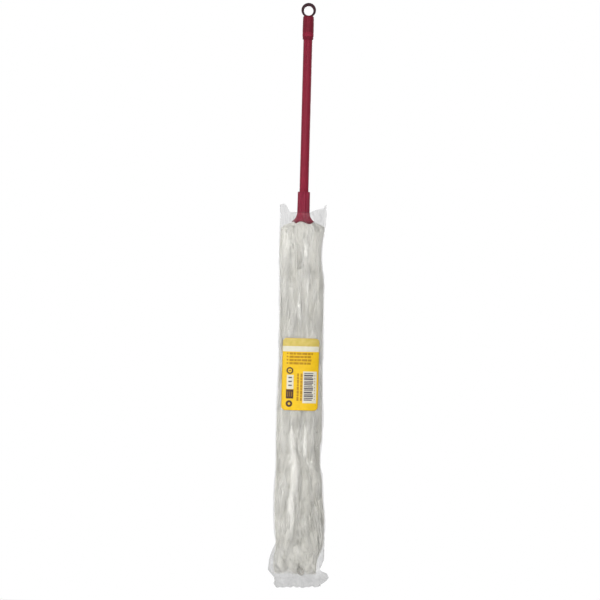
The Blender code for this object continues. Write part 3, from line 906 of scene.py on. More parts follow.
@dataclass(frozen=True)
class Handle:
    """Hanging cap, lacquered tube and the bush at the tube's lower end."""

    ring_radius: float = 0.0081
    ring_thickness: float = 0.0040
    ring_round: float = 0.0008
    round_steps: int = 6
    hole_radius: float = 0.0052
    ring_rise: float = 0.0008
    cap_top: float = -0.0059
    cap_wall: float = 0.0026
    # Shares of the cap's length down from its top, with its radius there.
    cap_outside: tuple[Span, ...] = (
        (0.0, 0.0), (0.0, 0.0048), (0.012, 0.0055), (0.03, 0.00588), (0.06, 0.00605),
        (0.40, 0.00618), (0.66, 0.00624), (0.695, 0.00622), (0.705, 0.00606), (0.72, 0.00606),
        (0.735, 0.00622), (0.85, 0.00620), (0.876, 0.00614), (0.882, 0.00594), (0.888, 0.00580),
        (0.902, 0.00580), (0.908, 0.00594), (0.930, 0.00600), (0.985, 0.00582), (1.0, 0.00562),
    )
    cap_sharp: float = 0.6
    cap_colour: Colour = (0.161, 0.011, 0.025)
    cap_shade: Colour = (0.136, 0.009, 0.020)
    # The eye's darker colour is painted shade on the hanging ring.
    eye_painted_shade_colour: Colour = (0.034, 0.011, 0.016)
    cap_roughness: float = 0.55
    # How far the cap's painted highlight belt lies below its top, and its gain.
    cap_lit_band: Band = (0.0183, 0.0226, 1.30)
    tube_wall: float = 0.0005
    tube_ease: float = 0.00012
    steps: int = 112

    def build(self) -> None:
        """Makes the handle's pieces."""
        self._cap()
        self._tube()
        bush = frame["nodes"]["core_bush"]
        bush.data.materials.clear()
        bush.data.materials.append(NaturalPlastic().build())

    def _ring(self) -> bpy.types.Mesh:
        """The flat hanging eye, with its edges rounded.

        Returns:
            Its mesh.
        """
        half = self.ring_thickness / 2 - self.ring_round
        outer = self.ring_radius - self.ring_round
        inner = self.hole_radius + self.ring_round
        corners = [
            (outer, half, 0.0), (outer, -half, -math.pi / 2), (inner, -half, -math.pi), (inner, half, math.pi / 2)
        ]
        outline = []
        for radius, height, first in corners:
            for step in range(self.round_steps + 1):
                turn = first + math.pi / 2 * (1 - step / self.round_steps)
                out, up = self.ring_round * math.cos(turn), self.ring_round * math.sin(turn)
                outline.append((radius + out, height + up))
        mesh = turned_mesh("hang_ring", outline, self.steps)
        for vertex in mesh.vertices:
            x, y, z = vertex.co
            rise = self.ring_rise if math.hypot(x, y) > (self.ring_radius + self.hole_radius) / 2 else 0.0
            vertex.co = (x, z, y + rise)
        return mesh

    def _cap_profile(self) -> list[Span]:
        """The cap's sleeve: shoulder, belly, bright lip, groove and mouth.

        Returns:
            Its radii and heights.
        """
        foot = BOXES["hang_cap"][0].z
        mouth = BOXES["handle_tube"][1].x + SOCKET_PLAY
        inside = self.cap_top - self.cap_wall
        profile = [(radius, self.cap_top - (self.cap_top - foot) * share) for share, radius in self.cap_outside]
        return profile + [(mouth, foot), (mouth, inside), (0.0, inside)]

    def _cap(self) -> None:
        """The ring and the sleeve, joined into one moulding."""
        cap = add_piece("hanging_cap", turned_mesh("hanging_cap", self._cap_profile(), self.steps))
        ring = add_piece("hang_ring", self._ring())
        join = cap.modifiers.new("join", "BOOLEAN")
        join.operation = "UNION"
        join.solver = "EXACT"
        join.object = ring
        settle(cap)
        bpy.data.objects.remove(ring)
        cap.data.set_sharp_from_angle(angle=self.cap_sharp)
        # The cap's lighter belt is a painted highlight.
        top, foot, gain = self.cap_lit_band
        lit_band = (self.cap_top - top, self.cap_top - foot, gain)
        tones = (self.cap_colour, self.cap_shade, self.cap_roughness)
        cap.data.materials.clear()
        cap.data.materials.append(MouldedPlastic("cap_plastic", *tones, self.eye_painted_shade_colour, lit_band=lit_band).build())
        dress(cap, Body.DUSTER, ["hang_cap"])

    def _tube(self) -> None:
        """The steel tube, with its ends eased."""
        low, high = BOXES["handle_tube"]
        outer = high.x
        inner = outer - self.tube_wall
        ease = self.tube_ease
        slight = ease * 0.3
        profile = [
            (outer - ease, high.z), (outer - slight, high.z - slight), (outer, high.z - ease),
            (outer, low.z + ease), (outer - slight, low.z + slight), (outer - ease, low.z),
            (inner, low.z), (inner, high.z),
        ]
        tube = add_piece("lacquered_tube", turned_mesh("lacquered_tube", profile, self.steps), Lacquer().build())
        dress(tube, Body.DUSTER, ["handle_tube"])


@dataclass(frozen=True)
class Collar:
    """Fluted socket on the tube's lower end, flaring to a thin skirt with a waved rim."""

    length: float = 0.0355
    top_radius: float = 0.0068
    waist_radius: float = 0.00695
    chamfer: float = 0.0007
    flare_height: float = 0.0140
    flare_power: float = 2.2
    skirt_wall: float = 0.0011
    socket_depth: float = 0.0200
    ledge_depth: float = 0.0212
    bore: float = 0.0047
    flutes: int = 14
    flute_depth: float = 0.00045
    flute_power: float = 0.8
    lobes: int = 4
    lobe_height: float = 0.0028
    lobe_turn: float = -0.028
    lip_flatness: float = 0.8
    columns: int = 280
    chamfer_shares: tuple[float, ...] = (0.0, 0.15, 0.4, 0.7, 1.0)
    barrel_steps: int = 8
    flare_steps: int = 22
    lip_steps: int = 6
    inside_steps: int = 14
    sharp: float = 0.9
    colour: Colour = (0.212, 0.0155, 0.037)
    shade: Colour = (0.165, 0.012, 0.030)
    roughness: float = 0.46
    # How far the collar's painted highlight belt, on its flare, lies below its top, and its gain.
    lit_band: Band = (0.0235, 0.0330, 1.40)

    @property
    def straight(self) -> float:
        """How far down the flare starts."""
        return self.length - self.flare_height

    def outside(self, down: float, turns: np.ndarray) -> np.ndarray:
        """The outer radius all round.

        Args:
            down: The distance below the collar's top.
            turns: The angles round it.

        Returns:
            The radius at each angle.
        """
        rim = BOXES["collar"][1].x
        barrel = self.top_radius + (self.waist_radius - self.top_radius) * min(down / self.straight, 1.0)
        spread = max(down - self.straight, 0.0) / self.flare_height
        flare = (rim - self.waist_radius) * spread**self.flare_power
        into = min(down / self.chamfer, 1.0)
        ease = self.chamfer * (1 - math.sqrt(1 - (1 - into) ** 2))
        flute = self.flute_depth * (0.5 - 0.5 * np.cos(self.flutes * turns)) ** self.flute_power
        return barrel - ease - flute * (1 - spread) * into + flare

    def _rings(self, turns: np.ndarray) -> list[tuple[np.ndarray, float]]:
        """The rings of the closed wall: its outside, the lip, the skirt's inside and the socket.

        Args:
            turns: The angles round it.

        Returns:
            Each ring's radii all round and its distance down.
        """
        barrel = self.straight - self.chamfer
        downs = [self.chamfer * share for share in self.chamfer_shares]
        downs += [self.chamfer + barrel * step / self.barrel_steps for step in range(1, self.barrel_steps + 1)]
        downs += [
            self.straight + self.flare_height * step / self.flare_steps for step in range(1, self.flare_steps + 1)
        ]
        rings = [(self.outside(down, turns), down) for down in downs]
        rim = self.outside(self.length, turns)
        lip = self.skirt_wall / 2
        for step in range(1, self.lip_steps):
            turn = math.pi * step / self.lip_steps
            drop = lip * math.sin(turn) * self.lip_flatness
            rings.append((rim - lip + lip * math.cos(turn), self.length + drop))
        steps = self.inside_steps
        inside = [self.straight + self.flare_height * (1 - step / steps) for step in range(steps + 1)]
        plain = np.zeros(1)
        walls = [(self.outside(down, plain)[0] - self.skirt_wall, down) for down in [*inside, self.ledge_depth]]
        socket = BOXES["handle_tube"][1].x + SOCKET_PLAY
        walls += [(self.bore, self.ledge_depth), (self.bore, self.socket_depth), (socket, self.socket_depth)]
        return rings + [(np.full(len(turns), radius), down) for radius, down in [*walls, (socket, 0.0)]]

    def build(self) -> None:
        """Makes the collar."""
        top = BOXES["collar"][1].z
        turns = np.arange(self.columns) * math.tau / self.columns
        rings = self._rings(turns)
        lobe = 0.5 + 0.5 * np.cos(self.lobes * (turns + math.pi / 2 - math.tau * self.lobe_turn))
        points = []
        for radii, down in rings:
            spread = max(down - self.straight, 0.0) / self.flare_height
            height = top - down + self.lobe_height * lobe * min(spread, 1.0) ** 2
            points += np.stack([radii * np.cos(turns), radii * np.sin(turns), height], axis=1).tolist()
        faces = grid_faces(len(rings), self.columns, True, loop=True)
        # The flare's lighter belt is a painted highlight.
        belt_top, belt_foot, gain = self.lit_band
        lit_band = (top - belt_top, top - belt_foot, gain)
        finish = MouldedPlastic("collar_plastic", self.colour, self.shade, self.roughness, lit_band=lit_band)
        mesh = solid_mesh("fluted_collar", points, faces, self.sharp)
        collar = add_piece("fluted_collar", mesh, finish.build())
        dress(collar, Body.DUSTER, ["collar"])


@dataclass(frozen=True)
class Head:
    """Where the head hangs: its lean, the bow of its wire core and the room inside the sleeve."""

    lean: float = 0.0122
    half_width: float = 0.0255
    half_depth: float = 0.0130
    corner_rise: float = 0.0090
    hollow_foot: float = -0.6281
    seal_taper: float = 0.0009
    seal_width: float = 0.0125
    seal_half: float = 0.0008
    loop_foot: float = -0.6270
    core_bow: float = 0.0042
    loop_offset: float = 0.0024
    # Share of the hollow's length down from the mouth, then left, right and depth shares.
    stations: tuple[tuple[float, float, float, float], ...] = (
        (0.000, 1.01, 1.01, 1.00), (0.031, 1.00, 0.985, 1.00), (0.064, 1.02, 0.915, 1.00),
        (0.108, 1.04, 0.835, 1.00), (0.143, 1.035, 0.855, 1.00), (0.181, 1.01, 0.945, 1.00),
        (0.253, 1.00, 0.96, 1.00), (0.351, 0.995, 0.96, 1.00), (0.448, 1.01, 0.965, 1.00),
        (0.522, 1.055, 0.98, 1.00), (0.594, 1.075, 0.99, 1.00), (0.632, 1.08, 0.97, 1.00),
        (0.690, 1.07, 0.905, 1.00), (0.728, 1.08, 1.00, 1.00), (0.787, 1.12, 1.045, 1.00),
        (0.851, 1.09, 1.14, 1.00), (0.885, 1.055, 1.13, 1.00), (0.909, 1.00, 1.11, 0.99),
        (0.935, 1.16, 1.10, 0.94), (0.952, 1.24, 1.10, 0.84), (0.971, 1.30, 0.98, 0.66),
        (0.983, 1.32, 0.955, 0.46), (0.991, 1.23, 1.20, 0.37), (1.000, 1.13, 1.31, 0.27),
    )
    # Share of the weld's height down, then left and right shares.
    seal_stations: tuple[Point, ...] = (
        (0.00, 1.10, 1.33), (0.15, 1.05, 1.32), (0.32, 1.03, 1.22), (0.52, 1.07, 1.06), (1.00, 1.04, 0.99),
    )

    @property
    def collar_foot(self) -> float:
        """Height of the collar's rim."""
        return BOXES["collar"][0].z

    @property
    def mouth(self) -> float:
        """Height of the sleeve's mouth between its corners."""
        return BOXES["sleeve_bag"][1].z - self.corner_rise

    @property
    def foot(self) -> float:
        """Height of the sleeve's welded bottom edge."""
        return BOXES["sleeve_bag"][0].z

    def lean_at(self, z: np.ndarray) -> np.ndarray:
        """How far the sleeve's middle lies right of the handle's line."""
        return self.lean * np.maximum(self.collar_foot - z, 0.0)

    def core_at(self, z: np.ndarray) -> np.ndarray:
        """How far the wire core lies right of the handle's line.

        Args:
            z: The heights.

        Returns:
            The distance at each.
        """
        down = np.clip((self.collar_foot - z) / (self.collar_foot - self.loop_foot), 0.0, 1.0)
        bow = self.core_bow * np.sin(math.pi * down) ** 2 + self.loop_offset * eased(down)
        return self.lean_at(z) + bow

    def halves(self, z: np.ndarray) -> tuple[np.ndarray, np.ndarray, np.ndarray]:
        """The film's reach from its middle: left, right and forwards.

        Args:
            z: The heights.

        Returns:
            The left half width, the right one and the half depth at each.
        """
        span = self.mouth - self.hollow_foot
        rows = [(span * down, left, right, self.half_depth * depth) for down, left, right, depth in self.stations]
        for down, left, right in self.seal_stations:
            rows.append((span + self.seal_taper + self.seal_width * down, left, right, self.seal_half))
        downs, lefts, rights, depths = zip(*rows)
        at = self.mouth - np.asarray(z, float)
        left, right = (smooth_through(at, downs, shares) * self.half_width for shares in (lefts, rights))
        return left, right, np.interp(at, downs, depths)


@dataclass(frozen=True)
class WireCore:
    """The one twisted wire: two legs that wind about each other and the loop at the tip."""

    head: Head
    wire_radius: float = 0.0010
    twist_radius: float = 0.0014
    pitch: float = 0.0113
    loop_half_width: float = 0.0026
    loop_half_height: float = 0.0040
    loop_rise: float = 0.0043
    loop_tilt: float = 0.62
    neck: float = 0.0060
    turn_steps: int = 16
    side_steps: int = 10
    loop_steps: int = 24
    sides: int = 12

    def _leg(self, top: float, neck: float) -> list[Point]:
        """One leg of the twist.

        Args:
            top: The height of its upper end.
            neck: The height where the loop starts.

        Returns:
            Its points, downwards.
        """
        steps = round((top - neck) / self.pitch * self.turn_steps)
        last = math.tau * (top - neck) / self.pitch
        leg = []
        for share in (step / steps for step in range(steps + 1)):
            turn = last * (share - 1)
            x, y = self.twist_radius * math.cos(turn), self.twist_radius * math.sin(turn)
            leg.append((x, y, top + (neck - top) * share))
        return leg

    def _route(self) -> list[Point]:
        """The upright wire's route, with its loop tilted.

        Returns:
            Points down one leg, round the loop and back up.
        """
        centre = self.head.loop_foot + self.loop_rise
        neck = centre + self.loop_half_height + self.neck
        down = self._leg(BOXES["core_wire"][1].z - self.wire_radius, neck)
        for share in (step / self.side_steps for step in range(1, self.side_steps)):
            swell = math.sin(share * math.pi / 2) ** 2
            radius = self.twist_radius + (self.loop_half_width - self.twist_radius) * swell
            down.append((radius, 0.0, neck + (centre - neck) * share))
        bottom = []
        for turn in (math.pi * step / self.loop_steps for step in range(self.loop_steps + 1)):
            x, drop = self.loop_half_width * math.cos(turn), self.loop_half_height * math.sin(turn)
            bottom.append((x, 0.0, centre - drop))
        back = [(-x, -y, z) for x, y, z in reversed(down)]
        return [self._tilted(point, centre, neck) for point in down + bottom + back]

    def _tilted(self, point: Point, centre: float, neck: float) -> Point:
        """A point of the upright route once the loop leans over.

        Args:
            point: The point.
            centre: The height of the loop's middle, about which it leans.
            neck: The height where the loop starts.

        Returns:
            The point's new place.
        """
        x, y, z = point
        turn = self.loop_tilt * float(eased((neck - z) / self.neck))
        up = z - centre
        return x * math.cos(turn) - up * math.sin(turn), y, centre + x * math.sin(turn) + up * math.cos(turn)

    def build(self) -> None:
        """Makes the wire with a tree that sweeps a round section along its route."""
        places = [(x + float(self.head.core_at(np.float64(z))), y, z) for x, y, z in self._route()]
        mesh = bpy.data.meshes.new("twisted_wire")
        mesh.from_pydata(places, [(place, place + 1) for place in range(len(places) - 1)], [])
        wire = add_piece("twisted_wire", mesh)
        finish = Galvanised().build()
        grow(wire, self._tree(), {"Wire radius": self.wire_radius, "Sides": self.sides, "Finish": finish})
        dress(wire, Body.DUSTER, ["core_wire"])

    @staticmethod
    def _tree() -> bpy.types.NodeTree:
        """The tree that sweeps a round section along the edges it is given.

        Returns:
            The tree.
        """
        tree = new_tree("sweep_wire", {"Wire radius": "Float", "Sides": "Int", "Finish": "Material"})
        graph = Graph(tree)
        given = graph.add("NodeGroupInput").outputs
        path = graph.out("GeometryNodeMeshToCurve", None, {"Mesh": given["Geometry"]})
        section = {"Resolution": given["Sides"], "Radius": given["Wire radius"]}
        ring = graph.out("GeometryNodeCurvePrimitiveCircle", None, section)
        inputs = {"Curve": path, "Profile Curve": ring, "Fill Caps": True}
        finish_tree(graph, graph.out("GeometryNodeCurveToMesh", None, inputs), given["Finish"])
        return tree


class Draw(IntEnum):
    """What each random share of a lock or fibre is for; the number sets its draw."""

    LOCK_TURN = 1
    LOCK_ROOT = 2
    FIBRE_TURN = 3
    FIBRE_ROOT = 4
    LOCK_LENGTH = 5
    FIBRE_LENGTH = 6
    DEPTH = 7
    LOCK_TONE = 8
    FIBRE_TONE = 9
    THICKNESS = 10
    LOWEST = 11
    PRESSING = 12
    INNER = 13
    INNER_DEPTH = 14


class Strands:
    """The fibres that a tree grows: which one, which lock it is in and how far along it."""

    def __init__(self, graph: Graph, own: Value, per_lock: int, seed: Value) -> None:
        """Keeps the tree, the fibres' numbers and the seed.

        Args:
            graph: The tree.
            own: Each fibre's number.
            per_lock: How many fibres share a lock.
            seed: The slice's seed.
        """
        self.graph = graph
        self.own = own
        self.lock = (own / per_lock).whole()
        self.seed = seed
        self.along = graph.value(graph.add("GeometryNodeSplineParameter"))

    def _chance(self, identity: Value, draw: Draw) -> Value:
        """A random share that each identity keeps."""
        inputs = {2: 0.0, 3: 1.0, 7: identity, 8: self.seed + int(draw)}
        return self.graph.value(self.graph.add("FunctionNodeRandomValue", {"data_type": "FLOAT"}, inputs), 1)

    def of_lock(self, draw: Draw) -> Value:
        """A random share that a lock's fibres have in common."""
        return self._chance(self.lock, draw)

    def of_fibre(self, draw: Draw) -> Value:
        """A random share that each fibre has for itself."""
        return self._chance(self.own, draw)


@dataclass(frozen=True)
class FibrePile:
    """The head's fibre: thousands of fine locks that leave the wire core and hang in the sleeve."""

    head: Head
    fibres: int = 3900
    per_lock: int = 44
    points: int = 9
    fibre_length: float = 0.056
    fibre_radius: float = 0.00034
    root_radius: float = 0.0033
    root_margin: float = 0.0015
    root_spread: float = 0.0080
    film_room: float = 0.0014
    side_room: float = 0.0009
    least_depth: float = 0.0006
    spring: float = 2.4
    top_springs: tuple[float, ...] = (9.0, 3.6)
    droop: float = 1.2
    top_droop: float = 1.7
    lock_spread: float = 0.62
    golden_turn: float = 0.618034
    curl: float = 0.0034
    curl_cells: float = 85.0
    frizz: float = 0.0011
    frizz_cells: float = 420.0
    fullness: float = 1.05
    reach_scale: float = 0.040
    slice_seed: int = 100
    last_seed: int = 41
    # How far the pile's shoulder has widened at distances below its top.
    shoulder: tuple[Span, ...] = (
        (0.0, 0.0048), (0.0070, 0.0062), (0.0110, 0.0082), (0.0138, 0.0102), (0.0148, 0.0128),
    )
    shoulder_depth: float = 0.0115
    shoulder_foot: float = 0.0172
    room_steps: int = 26
    foot_gap: float = 0.0004
    # Where the foot closes in, over what height, and by how much in depth and at its sides.
    closing_top: float = -0.584
    closing_height: float = 0.034
    closing_depth: float = 0.0018
    closing_sides: float = 0.0030
    wing_top: float = -0.6000
    wing_room: float = 1.10
    right_waist: float = -0.6205

    def build(self) -> None:
        """Makes one piece for each slice of the pile."""
        tree = self._tree()
        finish = Fibre().build()
        step = BOXES[SLICES[0]][1].z - BOXES[SLICES[1]][1].z
        for number, node in enumerate(SLICES):
            top = BOXES[node][1].z
            name = f"fibre_{number + 1}"
            piece = add_piece(name, bpy.data.meshes.new(name))
            grow(piece, tree, {
                "Fibres": self.fibres,
                "Root top": top - self.root_margin,
                "Root foot": top - step,
                "Spring": self.top_springs[number] if number < len(self.top_springs) else self.spring,
                "Droop": self.droop if number else self.top_droop,
                "Seed": self.slice_seed * (number + 1) + (self.last_seed if node == SLICES[-1] else 0),
                "Finish": finish,
            })
            dress(piece, Body.DUSTER, [node])

    def _room(self) -> list[tuple[float, float, float, float]]:
        """The room for fibre down the sleeve.

        Returns:
            Heights, each with the room there from the middle: left, right and forwards.
        """
        top = BOXES[SLICES[0]][1].z
        rows = [(top - drop, radius, radius, min(radius, self.shoulder_depth)) for drop, radius in self.shoulder]
        widest = float(self.head.halves(np.float64(self.wing_top))[0]) * self.wing_room
        narrowest = float(self.head.halves(np.float64(self.right_waist))[1])
        foot = self.head.loop_foot + self.foot_gap
        start = top - self.shoulder_foot
        for step in range(self.room_steps + 1):
            z = start + (foot - start) * step / self.room_steps
            left, right, depth = (float(half) for half in self.head.halves(np.float64(z)))
            closing = float(eased((self.closing_top - z) / self.closing_height))
            depth = max(depth - self.film_room - self.closing_depth * closing, self.least_depth)
            room = self.side_room + self.closing_sides * closing
            if z < self.wing_top:
                left, right = min(left, widest), min(right, narrowest)
            rows.append((z, left - room, right - room, depth))
        return rows

    def _reaches(self, graph: Graph, z: Value) -> list[Value]:
        """The room for fibre at a height.

        Args:
            graph: The tree.
            z: The height.

        Returns:
            The room from the middle: left, right and forwards.
        """
        rows = self._room()
        first, last = rows[0][0], rows[-1][0]
        down = (first - z) / (first - last)
        reaches = []
        for column in (1, 2, 3):
            points = [((first - row[0]) / (first - last), row[column] / self.reach_scale) for row in rows]
            curve = graph.add("ShaderNodeFloatCurve", {"points": points}, {"Value": down})
            reaches.append(graph.value(curve) * self.reach_scale)
        return reaches

    def _turn(self, strands: Strands) -> Value:
        """The direction round the core in which a fibre leaves it.

        Args:
            strands: The fibres.

        Returns:
            The angle.
        """
        lock_turn = (strands.lock * self.golden_turn + strands.of_lock(Draw.LOCK_TURN) * 0.35) * math.tau
        own_turn = (strands.of_fibre(Draw.FIBRE_TURN) - 0.5) * self.lock_spread
        return lock_turn + own_turn * (1.0 - strands.along * 0.55)

    def _hang(self, strands: Strands, top: Value, foot: Value, droop: Value) -> Value:
        """How high each point of a fibre hangs.

        Args:
            strands: The fibres.
            top: The height of the highest roots.
            foot: The height of the lowest roots.
            droop: How late the fibres turn down.

        Returns:
            The height.
        """
        lock_drop = (top - foot) * strands.of_lock(Draw.LOCK_ROOT) ** 1.25 * 0.94
        root = top - lock_drop - strands.of_fibre(Draw.FIBRE_ROOT) * self.root_spread * 0.5
        lock_length = self.fibre_length * (0.74 + strands.of_lock(Draw.LOCK_LENGTH) * 0.26)
        length = lock_length * (0.86 + strands.of_fibre(Draw.FIBRE_LENGTH) * 0.14)
        lowest = self.head.loop_foot + 0.0009 + strands.of_fibre(Draw.LOWEST) ** 1.5 * 0.005
        return root - length.least((root - lowest).most(0.003)) * strands.along**droop

    def _curled(self, strands: Strands, place: Sequence[Value]) -> list[Value]:
        """A fibre's points once its lock curls and it frizzes.

        Args:
            strands: The fibres.
            place: The points' x, y and z.

        Returns:
            The points' new x, y and z.
        """
        graph = strands.graph
        x, y, z = place
        shared = graph.out("ShaderNodeCombineXYZ", None, {0: x + strands.lock * 0.003, 1: y, 2: z * 0.55})
        alone = graph.out("ShaderNodeCombineXYZ", None, {0: strands.own * 0.011, 1: strands.along * 0.02, 2: z})
        drift = graph.parts(graph.noise(shared, self.curl_cells, 2.0, 1))
        fuzz = graph.parts(graph.noise(alone, self.frizz_cells, 1.0, 1))
        moved = []
        for start, wide, fine, curl in zip(place, drift, fuzz, (self.curl * 2, self.curl * 2, self.curl)):
            moved.append(start + ((wide - 0.5) * curl + (fine - 0.5) * (self.frizz * 2)) * strands.along)
        return moved

    def _pressed(self, strands: Strands, place: Sequence[Value], half: Value, deep: Value) -> list[Value]:
        """A fibre's points once the film presses them in and the loop holds them off.

        Args:
            strands: The fibres.
            place: The points' x, y and z.
            half: The room at their side.
            deep: The room in depth.

        Returns:
            The points' new x and y.
        """
        x, y, z = place
        beyond = ((x / half) ** 2.0 + (y / deep) ** 2.0) ** 0.5
        pressed = beyond.most(1.0) / (1.0 - strands.of_fibre(Draw.PRESSING) * 0.035)
        x = x / pressed
        y = y / pressed
        down = z * -1.0
        y = y * (y / deep).size() ** (down.ramp(0.598, 0.618) * 0.40)
        over_loop = 1.0 - (x - self.head.loop_offset).size().ramp(0.0032, 0.0046)
        beside_loop = down.ramp(0.6145, 0.6175) * over_loop
        return [x, y + (y.size() * 0.12 + 0.0016 - y) * beside_loop]

    def _tree(self) -> bpy.types.NodeTree:
        """The tree that grows the locks of a slice between two root heights.

        Returns:
            The tree.
        """
        sizes = {name: "Float" for name in ("Root top", "Root foot", "Spring", "Droop")}
        tree = new_tree("grow_fibre", {"Fibres": "Int", **sizes, "Seed": "Int", "Finish": "Material"})
        graph = Graph(tree)
        given = graph.add("NodeGroupInput").outputs
        spring, droop, top, foot, seed = (
            Value(graph, given[name]) for name in ("Spring", "Droop", "Root top", "Root foot", "Seed")
        )
        line = graph.out("GeometryNodeCurvePrimitiveLine", None, {"End": (0.0, 0.0, -1.0)})
        cut = graph.out("GeometryNodeResampleCurve", None, {"Curve": line, "Count": self.points})
        inputs = {"Geometry": cut, "Amount": given["Fibres"]}
        many = graph.add("GeometryNodeDuplicateElements", {"domain": "SPLINE"}, inputs)
        strands = Strands(graph, graph.value(many, 1), self.per_lock, seed)

        out = 1.0 - (1.0 - strands.along) ** spring
        inner = (strands.of_fibre(Draw.INNER) > 0.80) * (0.22 + strands.of_fibre(Draw.INNER_DEPTH) * 0.30)
        share = (0.76 + strands.of_fibre(Draw.DEPTH) ** 0.45 * 0.24) * (1.0 - inner)
        turn = self._turn(strands)
        side, front = turn.cosine(), turn.sine()
        z = self._hang(strands, top, foot, droop)
        left, right, deep = self._reaches(graph, z)
        half = left + (right - left) * (side > 0.0)
        x = (self.root_radius + (half - self.root_radius) * out * share) * side
        y = (self.root_radius + (deep - self.root_radius) * out * share) * front
        x, y, z = self._curled(strands, (x, y, z))
        x, y = self._pressed(strands, (x * self.fullness, y, z), half, deep)

        below = self.head.collar_foot - z
        reached = (below / (self.head.collar_foot - self.head.loop_foot)).ramp(0.0, 1.0)
        middle = below.most(0.0) * self.head.lean + reached * self.head.loop_offset * (1.0 - out)
        spot = graph.out("ShaderNodeCombineXYZ", None, {0: x + middle, 1: y, 2: z})
        shape = graph.out("GeometryNodeSetPosition", None, {"Geometry": many.outputs[0], "Position": spot})
        tone = strands.of_lock(Draw.LOCK_TONE) * 0.7 + strands.of_fibre(Draw.FIBRE_TONE) * 0.3
        for name, value in (("lock_tone", tone), ("lock_reach", out * share)):
            inputs = {"Geometry": shape, "Name": name, "Value": value}
            shape = graph.out("GeometryNodeStoreNamedAttribute", {"domain": "POINT"}, inputs)
        section = {"Resolution": 3, "Radius": self.fibre_radius}
        ring = graph.out("GeometryNodeCurvePrimitiveCircle", None, section)
        taper = (1.0 - strands.along**3.0 * 0.85) * (0.75 + strands.of_fibre(Draw.THICKNESS) * 0.5)
        inputs = {"Curve": shape, "Profile Curve": ring, "Scale": taper, "Fill Caps": True}
        finish_tree(graph, graph.out("GeometryNodeCurveToMesh", None, inputs), given["Finish"])
        return tree


@dataclass(frozen=True)
class Ridge:
    """One long soft crease on the sleeve's front, by its place from the sleeve's middle, with a painted highlight
    along it.
    """

    across: float
    top: float
    foot: float
    height: float
    width: float = 0.0016
    sway: float = 0.0012
    phase: float = 0.0
    painted_highlight: float = 0.5
    sway_length: float = 0.013
    crease: float = 0.35

    def near(self, from_middle: np.ndarray, z: np.ndarray, fade: float, spread: float = 1.0) -> np.ndarray:
        """How near the crease's line each point is.

        Args:
            from_middle: How far right of the sleeve's middle the points are.
            z: Their heights.
            fade: The length over which the crease's ends fade.
            spread: How many times its width counts as near.

        Returns:
            One on the line, falling to zero away from it.
        """
        middle = self.across + self.sway * np.sin((z - self.top) / self.sway_length + self.phase)
        ends = eased((self.top - z) / fade) * eased((z - self.foot) / fade)
        return np.exp(-(((from_middle - middle) / (self.width * spread)) ** 2)) * ends


